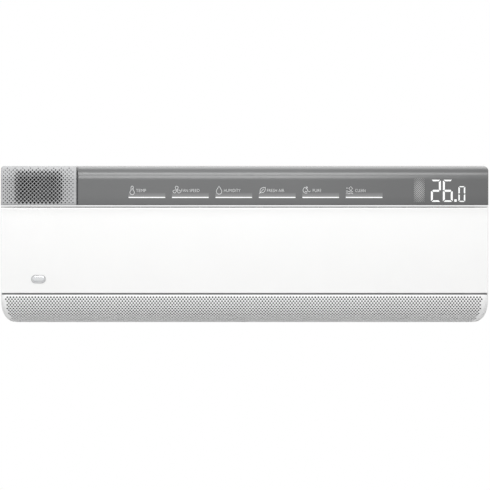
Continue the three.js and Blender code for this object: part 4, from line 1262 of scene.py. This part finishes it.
def make_badge():
    """Blank rounded badge at the panel's lower left: a grey rim round a bright plate."""
    for name, material, steps in (
        ("badge_rim", BADGE_GREY, ((0.0, 0.0), (0.0, 0.7), (0.4, 1.0), (2.0, 1.0), (2.4, 0.7), (2.4, 0.0))),
        ("badge_plate", CHROME, ((2.6, 0.0), (2.6, 0.5), (3.2, 0.8), (5.0, 0.9))),
    ):
        badge = Build()
        rings = []
        for inset, out in steps:
            outline = round_rect(-438.0 + inset, -407.6 - inset, -80.6 + inset, -63.2 - inset, 8.6 - inset, 8)
            rings.append([(x, FRONT + PANEL_FLARE_DEEP + 0.1 - out, z) for x, z in outline])
        badge.loft(rings)
        badge.piece(name, material, "aluminium", "front_panel", angle=60.0)


make_front_panel()
make_badge()

# ------------------------------------------------------------------ flap


def flap_hole(x, v, line):
    if line < 0 or v > FLAP_END - 12.0:
        return None
    limit = flap_half(flap_profile(v)[1])
    if x < FLAP_MARGIN_LEFT - limit or x > limit - FLAP_MARGIN_RIGHT:
        return None
    steepness = max((FLAP_Z - flap_profile(v)[1]) / FLAP_RADIUS, 0.0)
    return FLAP_HOLE, FLAP_HOLE * (1.0 + 0.5 * steepness ** 2)


def make_flap():
    verts, faces = perforation(FLAP_PITCH, FLAP_ROW, range(-6, 312), range(-3, 36), FLAP_FIRST, flap_hole)
    mesh = thick_sheet("air_flap_skin", verts, faces, flap_surface, FLAP_SKIN)
    add_object("air_flap_skin", mesh, FLAP_WHITE, "air_flap", ("air_flap",))

    ends = [2.0 * i for i in range(12)]
    stations = [e - FLAP_HALF for e in ends] + [-470.0, 0.0, 470.0] + [FLAP_HALF - e for e in ends[::-1]]
    heights = [1.5 + (FLAP_END - 4.0) * i / 60 for i in range(61)]

    # Painted shade: a dark sheet 2 mm under the flap's face, inset 6 mm from its ends, stands in for the
    # shade inside the flap.
    def shade_sheet(x, v, depth):
        y, z = flap_profile(v)
        limit = flap_half(z) - 6.0
        return flap_surface(min(max(x, -limit), limit), v, depth + 2.0)

    verts, faces = flat_grid(stations, heights)
    flap_shade_mesh = thick_sheet("air_flap_shade_sheet", verts, faces, shade_sheet, 0.6)
    add_object("air_flap_shade_sheet", flap_shade_mesh, FLAP_SHADE_GREY, "air_flap")


def make_flap_frame():
    """Stiffening rim, ribs and hinge arms inside the flap."""
    build = Build()

    def rib(x0, x1, s0, s1, depth):
        count = max(2, int((s1 - s0) / 4.0))
        outer = []
        inner = []
        for i in range(count + 1):
            s = s0 + (s1 - s0) * i / count
            y, z = flap_profile(s)
            y2, z2 = flap_profile(min(s + 0.01, FLAP_END))
            along = Vector((y2 - y, z2 - z)).normalized() if s < FLAP_END else Vector((1.0, 0.0))
            inward = Vector((-along.y, along.x))
            if inward.dot(Vector((FLAP_Y - y, FLAP_Z - z))) < 0:
                inward = -inward
            outer.append((y + inward.x * 2.1, z + inward.y * 2.1))
            inner.append((y + inward.x * depth, z + inward.y * depth))
        build.prism_x(outer + inner[::-1], x0, x1)

    for i in range(13):
        x = -420.0 + i * 70.0
        rib(x - 0.8, x + 0.8, 2.0, FLAP_END - 2.0, 3.4)
    rib(-486.0, 486.0, 0.6, 3.2, 3.4)
    rib(-462.0, 462.0, FLAP_END - 4.0, FLAP_END - 0.3, 3.4)
    for side in (-1, 1):
        x = side * 477.0
        arm = [(-126.0, -158.0), (-110.5, -158.0), (-106.5, -147.0), (-117.0, -145.0)]
        build.prism_x(arm, x - 3.0, x + 3.0)
        build.lathe((x - 3.0, FLAP_AXIS.y, FLAP_AXIS.z), (1, 0, 0),
                    [(3.5, 0), (5.6, 0), (6.0, 0.4), (6.0, 5.6), (5.6, 6.0), (3.5, 6.0), (3.5, 0)], 24)
    build.piece("air_flap_frame", FLAP_WHITE, "white_shell", "air_flap")


make_flap()
make_flap_frame()


def make_frame_details():
    """Rims round the two filter windows of the front frame, and catches for the closed panel."""
    rims = Build()
    frame_low = node_box("front_frame")[0]
    face = frame_low.y
    for left, right in ((FILTER_LEFT, FILTER_MIDDLE - 6.0), (FILTER_MIDDLE + 6.0, FILTER_RIGHT)):
        outline = round_rect(left - 3.0, right + 3.0, WINDOW_LOW - 3.0, WINDOW_HIGH + 3.0, 5.0, 5)
        inside = round_rect(left - 1.0, right + 1.0, WINDOW_LOW - 1.0, WINDOW_HIGH + 1.0, 3.0, 5)
        levels = ((outline, face + 0.3), (outline, face - 0.5), (inside, face - 0.5), (inside, face + 0.3))
        rims.loft([[(x, y, z) for x, z in ring] for ring, y in levels], closed=True)
    rims.piece("front_frame_rims", SATIN_WHITE, "white_shell")

    catches = Build()
    for x in (-410.0, -340.0, 340.0, 410.0):
        z = frame_low.z + 5.0
        catch = [(face + 0.4, z), (face - 0.5, z + 1.0), (face - 0.5, z + 5.0), (face + 0.4, z + 6.0)]
        catches.prism_x(catch, x - 7.0, x + 7.0)
    catches.piece("front_frame_catches", MID_GREY, "dark_plastic")


def make_gap_shade_strips():
    """Dark strips behind the joints of the front: painted shade seen in the gaps."""
    # Painted shade: a dark grey strip behind the gap between the front panel and the flap.
    gap_shade = Build()
    gap_shade.box(-497.0, 497.0, -220.8, -219.6, -107.0, -97.4)
    gap_shade.piece("flap_gap_shade_strip", GAP_SHADE_GREY, "rubber")
    # Painted shade: a dark plate behind the joint between the grille and the display cover.
    joint = Build()
    joint.prism_x([(-222.6, 81.0), (-221.6, 81.0), (-221.6, 130.0), (-222.6, 130.0)], -346.0, -341.0)
    joint.piece("strip_joint_shade_backing", DARK_PLASTIC, "dark_plastic")


make_gap_shade_strips()
make_frame_details()

# ------------------------------------------------------------------ vane


def make_vane():
    upper = []
    lower = []
    steps = 22
    for i in range(steps + 1):
        u = -1.0 + 2.0 * i / steps
        camber = 2.6 * (1.0 - u * u) - 1.6
        half = 1.5 * math.sqrt(max(1.0 - u ** 4, 0.0)) + 0.05
        for line, offset in ((upper, half), (lower, -half)):
            local = Vector((u * VANE_CHORD / 2, camber + offset))
            line.append((VANE.y + local.x * math.cos(VANE_TILT) - local.y * math.sin(VANE_TILT),
                         VANE.z + local.x * math.sin(VANE_TILT) + local.y * math.cos(VANE_TILT)))
    vane = Build()
    vane.prism_x(upper + lower[::-1], -332.0, 392.0)
    low, high = node_box("air_vane")
    pin_length = 10.0
    for x in (low.x, high.x - pin_length):
        vane.lathe((x, VANE.y, VANE.z), (1, 0, 0), pin_profile(3.2, pin_length), 20)
    vane.piece("air_vane_blade", SATIN_WHITE, "white_shell", "air_vane", ("air_vane",))


make_vane()

# ------------------------------------------------------------------ heat exchanger


def slab_point(slab, along, deep):
    """(y, z) of a point measured along the slab and in from its outer face."""
    (y, z), angle, _ = SLABS[slab]
    ca = math.cos(angle)
    sa = math.sin(angle)
    return y + ca * along + sa * deep, z + sa * along - ca * deep


def make_coils():
    half_fin = 0.12
    for slab, (_, _, length) in SLABS.items():
        fins = Build()
        corners = ((0, 0), (length, 0), (length, COIL_THICK), (0, COIL_THICK))
        outline = [slab_point(slab, along, deep) for along, deep in corners]
        for i in range(int((COIL_RIGHT - COIL_LEFT) / FIN_PITCH)):
            x = COIL_LEFT + (i + 0.5) * FIN_PITCH
            fins.prism_x(outline, x - half_fin, x + half_fin)
        fins.piece(f"{slab}_fins", ALUMINIUM, "aluminium", "unit", (slab,))


def make_coil_tubes():
    """Straight tubes through both rows of each slab, joined by return bends past the tube plates."""
    tubes = Build()
    past = 3.5
    bend_reach = 6.5
    for slab, (_, _, length) in SLABS.items():
        count = int((length - 8.0) / TUBE_PITCH) + 1
        for layer, deep in enumerate((5.5, 16.5)):
            ends = []
            for i in range(count):
                along = 6.0 + i * TUBE_PITCH + layer * TUBE_PITCH / 2
                if along > length - 4.0:
                    continue
                y, z = slab_point(slab, along, deep)
                tubes.tube([(COIL_LEFT - past, y, z), (COIL_RIGHT + past, y, z)], TUBE_RADIUS, 10)
                ends.append((y, z))
            for x, sign, shift in ((COIL_RIGHT + past, 1, 0), (COIL_LEFT - past, -1, 1)):
                for (y0, z0), (y1, z1) in list(zip(ends, ends[1:]))[shift::2]:
                    path = []
                    for k in range(9):
                        a = math.pi * k / 8
                        t = (1 - math.cos(a)) / 2
                        out = sign * bend_reach * math.sin(a)
                        path.append((x + out, y0 + (y1 - y0) * t, z0 + (z1 - z0) * t))
                    tubes.tube(path, TUBE_RADIUS, 10)
    tubes.piece("evaporator_tubes", COPPER, "copper")


make_coils()
make_coil_tubes()

# ------------------------------------------------------------------ filters


def filter_path():
    """Outer line of the filter from its rear top edge to its foot, as (y, z)."""
    lean = math.tan(FILTER_LEAN)
    across = FILTER_THICK / math.cos(FILTER_LEAN)

    def front(z):
        return -171.6 - (157.2 - z) * lean - across

    corner = (front(TOP), TOP)
    return [(node_box("left_filter")[1].y, TOP), corner, (front(FILTER_FOOT), FILTER_FOOT)]


def make_filter(name, x0, x1):
    rear, corner, foot = filter_path()
    inward_top = Vector((0.0, -1.0))
    down = (Vector(foot) - Vector(corner)).normalized()
    inward_leg = Vector((-down.y, down.x))

    def slab(build, a, b, inward, xa, xb, lift, depth):
        a = Vector(a)
        b = Vector(b)
        outline = [a + inward * lift, b + inward * lift, b + inward * depth, a + inward * depth]
        build.prism_x([tuple(p) for p in outline], xa, xb)

    frame_part = Build()
    top_length = (Vector(corner) - Vector(rear)).length
    leg_length = (Vector(foot) - Vector(corner)).length
    rim = 7.0
    for a, b, inward, length, depth in ((rear, corner, inward_top, top_length, 2.8),
                                        (corner, foot, inward_leg, leg_length, FILTER_THICK)):
        a = Vector(a)
        b = Vector(b)
        along = (b - a).normalized()
        for xa, xb in ((x0, x0 + rim), (x1 - rim, x1)):
            slab(frame_part, a, b, inward, xa, xb, 0.0, depth)
        slab(frame_part, a, a + along * rim, inward, x0 + rim, x1 - rim, 0.0, depth)
        slab(frame_part, b - along * rim, b, inward, x0 + rim, x1 - rim, 0.0, depth)
        bays_x = 6
        for i in range(1, bays_x):
            x = x0 + (x1 - x0) * i / bays_x
            slab(frame_part, a + along * rim, b - along * rim, inward, x - 0.9, x + 0.9, 0.3, depth - 0.2)
        bays = 3 if length < 150 else 5
        for i in range(1, bays):
            p = a + along * length * i / bays
            slab(frame_part, p - along * 0.9, p + along * 0.9, inward, x0 + rim, x1 - rim, 0.3, depth - 0.2)
    grip_x = (x0 + x1) / 2
    frame_part.box(grip_x - 22.0, grip_x + 22.0, corner[0] + 9.0, corner[0] + 14.0, TOP - 2.6, TOP - 0.02)
    frame_part.piece(f"{name}_frame", INNER_PLASTIC, "filter_net", name, (name,))

    net = Build()
    for a, b, inward, depth in ((rear, corner, inward_top, 1.5), (corner, foot, inward_leg, 1.9)):
        a = Vector(a)
        b = Vector(b)
        along = (b - a).normalized()
        slab(net, a + along * 3.0, b - along * 3.0, inward, x0 + 3.0, x1 - 3.0, depth - 0.15, depth + 0.15)
    net.piece(f"{name}_net", NET, "filter_net", name)


for filter_name in ("left_filter", "right_filter"):
    filter_low, filter_high = node_box(filter_name)
    make_filter(filter_name, filter_low.x, filter_high.x)

# ------------------------------------------------------------------ intake grille under the filters


def make_top_grille():
    grille = Build()
    (x0, y0, z0), (x1, y1, z1) = node_box("top_grille")
    side = 6.0
    for xa, xb in ((x0, x0 + side), (x1 - side, x1)):
        grille.box(xa, xb, y0, y1, z0, z1)
    for ya, yb in ((y0, y0 + 5.5), (y1 - 7.0, y1)):
        grille.box(x0 + side, x1 - side, ya, yb, z0, z1)
    for i in range(9):
        y = y0 + 16.0 + i * 12.4
        grille.box(x0 + side - 1.0, x1 - side + 1.0, y, y + 2.0, z0 + 0.5, z1 - 1.6)
    for i in range(11):
        x = x0 + 59.0 + i * 62.0
        grille.box(x, x + 2.0, y0 + 4.0, y1 - 5.0, z0 + 1.0, z1 - 2.4)
    grille.piece("intake_grille_ribs", SATIN_WHITE, "white_shell", "unit", ("top_grille",))


make_top_grille()

# ------------------------------------------------------------------ fans


def blade_outline(centre_y, centre_z, inner, outer, angle, sweep, thick, steps=6):
    """Curved blade in the end view, from the inner to the outer radius."""
    front = []
    back = []
    for i in range(steps + 1):
        t = i / steps
        r = inner + (outer - inner) * t
        a = angle + sweep * t * (1.6 - 0.6 * t)
        half = thick * (0.5 + 0.5 * math.sin(math.pi * t)) / 2
        for line, s in ((front, half), (back, -half)):
            line.append((centre_y + r * math.cos(a + s / r), centre_z + r * math.sin(a + s / r)))
    return front + back[::-1]


def make_cross_flow_fan():
    fan = Build()
    low, high = node_box("cross_flow_fan")
    shaft = 18.0
    disc = 2.0
    left = low.x + shaft
    right = high.x
    width = (right - left) / FAN_SECTIONS
    step = 2 * math.pi / FAN_BLADES
    for k in range(FAN_SECTIONS):
        x0 = left + k * width
        offset = k * step / 3
        for i in range(FAN_BLADES):
            outline = blade_outline(FAN.y, FAN.z, 38.0, 49.7, offset + i * step, 0.16, 1.3)
            fan.prism_x(outline, x0 + 1.0, x0 + width - 0.4)
    for k in range(FAN_SECTIONS + 1):
        x = min(left + k * width, right - disc)
        hole = 36.5 if 0 < k < FAN_SECTIONS else 0.0
        profile = [(hole, 0), (50.0, 0), (50.0, disc), (hole, disc)]
        if hole:
            profile.append((hole, 0))
        fan.lathe((x, FAN.y, FAN.z), (1, 0, 0), profile, 48)
    fan.lathe((low.x, FAN.y, FAN.z), (1, 0, 0), [(0, 0), (3.6, 0), (4.0, 0.5), (4.0, 18.5), (0, 18.5)], 20)
    hub = [(4.4, 0), (12.0, 0), (13.0, 1.0), (13.0, 25.0), (4.4, 25.0), (4.4, 0)]
    fan.lathe((right - 26.0, FAN.y, FAN.z), (1, 0, 0), hub, 28)
    fan.piece("cross_flow_fan_wheel", DARK_PLASTIC, "dark_plastic", "cross_flow_fan", ("cross_flow_fan",))


def make_impeller():
    wheel = Build()
    _, y, z = IMPELLER
    left = node_box("fresh_air_impeller")[0].x
    right = left + 38.0
    for i in range(IMPELLER_BLADES):
        outline = blade_outline(y, z, 36.0, 44.6, i * 2 * math.pi / IMPELLER_BLADES, -0.2, 1.2)
        wheel.prism_x(outline, left + 1.0, right - 1.0)
    for x, profile, sides in (
        (right - 2.0, [(0, 0), (45.0, 0), (45.0, 2.0), (0, 2.0)], 48),
        (left, [(35.0, 0), (45.0, 0), (45.0, 3.0), (35.0, 3.0), (35.0, 0)], 48),
        (right - 18.0, [(0, 0), (7.5, 0), (9.0, 1.5), (11.0, 16.5), (0, 16.5)], 28),
        (right - 1.0, [(0, 0), (3.0, 0), (3.0, 22.5), (2.6, 23.0), (0, 23.0)], 20),
    ):
        wheel.lathe((x, y, z), (1, 0, 0), profile, sides)
    wheel.piece("fresh_air_impeller_wheel", DARK_PLASTIC, "dark_plastic", "fresh_air_impeller",
                ("fresh_air_impeller",))


make_cross_flow_fan()
make_impeller()

# ------------------------------------------------------------------ filter cartridge


def make_cartridge():
    """Card frame with its grip lid, and the folded filter paper inside it."""
    (x0, y0, z0), (x1, y1, z1) = node_box("hepa_cartridge")
    grip_x0, grip_x1 = x0 + 33.0, x0 + 62.0
    grip_y0, grip_y1 = y0 + 10.0, y1 - 10.0
    card = Build()
    card.box(x0, x1, y0, y1, z1 - 2.5, z1 - 1.4)
    for xa, xb, ya, yb in ((x0, grip_x0, y0, y1), (grip_x1, x1, y0, y1),
                           (grip_x0, grip_x1, y0, grip_y0), (grip_x0, grip_x1, grip_y1, y1)):
        card.box(xa, xb, ya, yb, z1 - 1.6, z1)
    for xa, xb in ((x0 + 3.0, x0 + 6.0), (x1 - 6.0, x1 - 3.0)):
        card.box(xa, xb, y0 + 2.0, y1 - 2.0, z0, z1 - 2.4)
    for za, zb in ((z0, z0 + 3.0), (z1 - 5.4, z1 - 2.4)):
        card.box(x0 + 5.5, x1 - 5.5, y0 + 2.0, y1 - 2.0, za, zb)
    card.piece("hepa_cartridge_frame", INNER_PLASTIC, "filter_paper", "hepa_cartridge", ("hepa_cartridge",))

    pleats = Build()
    folds = 22
    left, right = x0 + 6.0, x1 - 6.0
    step = (right - left) / folds
    front = [(left + i * step, y0 + 4.0 if i % 2 else y1 - 4.5) for i in range(folds + 1)]
    ring = front + [(x, y + 0.9) for x, y in front[::-1]]
    n = len(ring)
    verts = [(x, y, z) for z in (z0 + 3.2, z1 - 5.6) for x, y in ring]
    faces = [(i, (i + 1) % n, n + (i + 1) % n, n + i) for i in range(n)]
    for base in (0, n):
        faces += [(base + i, base + i + 1, base + n - 2 - i, base + n - 1 - i) for i in range(folds)]
    pleats.add(verts, faces)
    pleats.piece("hepa_cartridge_pleats", PAPER, "filter_paper", "hepa_cartridge")


make_cartridge()

# ------------------------------------------------------------------ pipes


def make_pipes():
    for node, route, turn, radius, sides in (("gas_pipe", GAS_ROUTE, 16.0, 6.35, 18),
                                             ("liquid_pipe", LIQUID_ROUTE, 14.0, 3.2, 14)):
        pipe = Build()
        pipe.tube(rounded_path(route, turn), radius, sides)
        pipe.piece(f"{node}_tube", COPPER, "copper", "unit", (node,))
    sleeve = Build()
    _, y, z = GAS_ROUTE[-1]
    foam_profile = [(6.5, 0), (10.6, 0), (11.0, 0.8), (11.0, 420.0), (6.5, 420.0), (6.5, 0)]
    sleeve.lathe((-58.0, y, z), (1, 0, 0), foam_profile, 28)
    sleeve.piece("gas_pipe_insulation", FOAM, "rubber")


make_pipes()

# ------------------------------------------------------------------ fasteners


def make_board_parts():
    """Relays, capacitors, sockets and a heat sink on the main board, and the terminal screws."""
    low, high = node_box("main_board")
    face = low.y
    dark = Build()
    pale = Build()
    bright = Build()
    for i in range(3):
        z = low.z + 32.0 + i * 17.0
        dark.box(low.x + 6.0, low.x + 21.0, face - 15.0, face, z, z + 13.0)
        pale.box(high.x - 13.0, high.x - 4.0, face - 8.0, face, z, z + 12.0)
        for pin in range(4):
            x = high.x - 11.6 + pin * 2.1
            bright.box(x, x + 0.6, face - 9.5, face - 7.5, z + 2.0, z + 10.0)
    for x, z, radius, height in ((22.0, 88.0, 7.0, 24.0), (36.0, 90.0, 5.0, 18.0), (36.0, 76.0, 5.0, 18.0)):
        profile = [(0.0, 0.0), (radius, 0.0), (radius, 1.5), (radius - 0.5, 2.2), (radius, 3.0),
                   (radius, height - 0.8), (radius - 0.8, height), (radius - 1.4, height - 0.4),
                   (0.0, height - 0.4)]
        dark.lathe((low.x + x, face, low.z + z), (0, -1, 0), profile, 20)
    bright.box(low.x + 24.0, low.x + 38.0, face - 3.0, face, low.z + 32.0, low.z + 68.0)
    for i in range(6):
        x = low.x + 24.0 + i * 2.6
        bright.box(x, x + 1.0, face - 18.0, face - 2.9, low.z + 32.0, low.z + 68.0)
    dark.piece("board_relays_and_capacitors", DARK_PLASTIC, "dark_plastic")
    pale.piece("board_sockets", INNER_PLASTIC, "inner_plastic")

    block_low, block_high = node_box("terminal_block")
    for i in range(5):
        x = block_low.x + 5.0 + i * (block_high.x - block_low.x - 10.0) / 4
        for z in (block_low.z + 5.0, block_high.z - 5.0):
            head = [(0, 0), (2.6, 0), (2.6, 1.0), (2.0, 1.5), (0, 1.5)]
            bright.lathe((x, block_low.y + 0.2, z), (0, -1, 0), head, 16)
    bright.piece("board_heat_sink_and_screws", ALUMINIUM, "aluminium")

    walls = Build()
    for i in range(4):
        x = block_low.x + 5.0 + (i + 0.5) * (block_high.x - block_low.x - 10.0) / 4
        walls.box(x - 0.6, x + 0.6, block_low.y - 4.0, block_low.y + 0.3,
                  block_low.z + 0.5, block_high.z - 0.5)
    walls.piece("terminal_dividers", DARK_PLASTIC, "dark_plastic")


make_board_parts()


def screw_mesh():
    """Pan head with a cross recess, on the origin, its axis along +Z."""
    bm = bmesh.new()
    profile = [(0.0, 2.3), (1.4, 2.25), (2.6, 1.9), (3.4, 1.2), (3.7, 0.4), (3.7, 0.0)]
    sides = 24
    rings = []
    for r, h in profile[1:]:
        turns = [2 * math.pi * i / sides for i in range(sides)]
        rings.append([bm.verts.new((r * math.cos(a) * MM, r * math.sin(a) * MM, h * MM)) for a in turns])
    for near, far in zip(rings, rings[1:]):
        for i in range(sides):
            bm.faces.new((near[i], near[(i + 1) % sides], far[(i + 1) % sides], far[i]))
    bm.faces.new(rings[-1])
    arm = 0.42
    reach = 1.35
    cross = []
    for quarter in range(4):
        a = -quarter * math.pi / 2
        for u, v in ((reach, arm), (reach, -arm), (arm, -arm)):
            cross.append((u * math.cos(a) - v * math.sin(a), u * math.sin(a) + v * math.cos(a)))
    top = [bm.verts.new((x * MM, y * MM, 2.25 * MM)) for x, y in cross]
    low = [bm.verts.new((x * 0.7 * MM, y * 0.7 * MM, 1.1 * MM)) for x, y in cross]
    n = len(cross)
    for i in range(n):
        bm.faces.new((top[i], top[(i + 1) % n], low[(i + 1) % n], low[i]))
    bm.faces.new(low)
    edges = [bm.edges.get((top[i], top[(i + 1) % n])) for i in range(n)]
    edges += [bm.edges.get((rings[0][i], rings[0][(i + 1) % sides])) for i in range(sides)]
    bmesh.ops.triangle_fill(bm, edges=[e for e in edges if e], use_beauty=True)
    bmesh.ops.recalc_face_normals(bm, faces=bm.faces)
    mesh = bpy.data.meshes.new("pan_head_screw")
    bm.to_mesh(mesh)
    bm.free()
    soften(mesh, 40.0)
    return mesh


def make_screws():
    mesh = screw_mesh()
    mesh.materials.append(STEEL)
    down = Matrix.Rotation(math.pi, 4, "X")
    forward = Matrix.Rotation(math.pi / 2, 4, "X")
    places = []
    for x in (-440.0, 0.0, 440.0):
        places.append((x, -70.0, BOTTOM + 2.1, down))
    for x in (-352.0, FILTER_MIDDLE, 412.0):
        places.append((x, FRAME_SCREW_Y, -16.0, forward))
    for number, (x, y, z, turn) in enumerate(places):
        screw = bpy.data.objects.new(f"screw_{number + 1}", mesh)
        bpy.context.scene.collection.objects.link(screw)
        screw.matrix_world = Matrix.Translation(Vector((x, y, z)) * MM) @ turn
        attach(screw, "unit")


make_screws()

# ------------------------------------------------------------------ studio


def make_stage():
    floor = Build()
    reach = 6000
    level = -640
    corners = [(-reach, -reach, level), (reach, -reach, level), (reach, reach, level), (-reach, reach, level)]
    floor.add(corners, [(0, 1, 2, 3)])
    mesh = mesh_from("floor", floor.verts, floor.faces)
    plane = bpy.data.objects.new("floor", mesh)
    mesh.materials.append(moulded("pale floor", (0.56, 0.56, 0.56), 0.7, 60.0, 0.2, 0.1, 0.01))
    bpy.context.scene.collection.objects.link(plane)


def make_world():
    """White surroundings that are dimmer below the horizon."""
    world = bpy.data.worlds.new("studio")
    bpy.context.scene.world = world
    world.use_nodes = True
    tree = world.node_tree
    background = tree.nodes["Background"]
    coords = tree.nodes.new("ShaderNodeTexCoord")
    split = tree.nodes.new("ShaderNodeSeparateXYZ")
    fade = tree.nodes.new("ShaderNodeMapRange")
    fade.inputs["From Min"].default_value = -0.25
    fade.inputs["From Max"].default_value = -0.01
    fade.inputs["To Min"].default_value = 0.38
    fade.inputs["To Max"].default_value = 1.0
    tree.links.new(coords.outputs["Generated"], split.inputs["Vector"])
    tree.links.new(split.outputs["Z"], fade.inputs["Value"])
    background.inputs["Color"].default_value = (1.0, 1.0, 1.0, 1.0)
    tree.links.new(fade.outputs["Result"], background.inputs["Strength"])


def area_light(name, location, target, width, height, radiance):
    light = bpy.data.lights.new(name, "AREA")
    light.shape = "RECTANGLE"
    light.size = width
    light.size_y = height
    light.energy = radiance * math.pi * width * height
    lamp = bpy.data.objects.new(name, light)
    bpy.context.scene.collection.objects.link(lamp)
    lamp.location = location
    lamp.rotation_euler = (Vector(target) - Vector(location)).to_track_quat("-Z", "Y").to_euler()
    return lamp


def gloss_light(name, x, elevation, spread, width, radiance):
    """Softbox seen only in reflections: elevation and height are in degrees, as seen from the strip."""
    away = 1.6
    a = math.radians(elevation)
    target = Vector((x, BEND_Y * MM, 0.145))
    location = target + Vector((0.0, -math.cos(a), math.sin(a))) * away
    lamp = area_light(name, location, target, width, 2 * away * math.tan(math.radians(spread / 2)), radiance)
    lamp.visible_diffuse = False
    lamp.visible_transmission = False
    return lamp


def make_camera():
    camera = bpy.data.cameras.new("camera")
    camera.type = "ORTHO"
    camera.ortho_scale = 1.005
    eye = bpy.data.objects.new("camera", camera)
    bpy.context.scene.collection.objects.link(eye)
    eye.location = (0.0009, -3.0, -0.002)
    eye.rotation_euler = (math.pi / 2, 0.0, 0.0)
    bpy.context.scene.camera = eye


make_stage()
make_world()
area_light("key", (-0.2, -1.5, 1.9), (0.0, -0.2, 0.0), 1.6, 0.6, 4.4)
fill = area_light("fill", (0.0, -3.0, 0.5), (0.0, 0.0, 0.0), 2.6, 1.5, 0.85)
fill.visible_glossy = False
for name, x, elevation, spread, width, radiance in (
    ("strip highlight, whole width", 0.0, 48.0, 28.0, 1.7, 0.6),
    ("strip highlight, middle", -0.14, 48.0, 28.0, 0.84, 3.0),
    ("strip highlight, centre", -0.02, 48.0, 28.0, 0.42, 6.8),
    ("strip highlight, lower fade", -0.08, 25.0, 20.0, 0.8, 4.4),
    ("strip highlight, crown", 0.0, 124.0, 48.0, 1.7, 2.0),
):
    gloss_light(name, x, elevation, spread, width, radiance)
make_camera()
bpy.context.scene.view_settings.view_transform = "Standard"
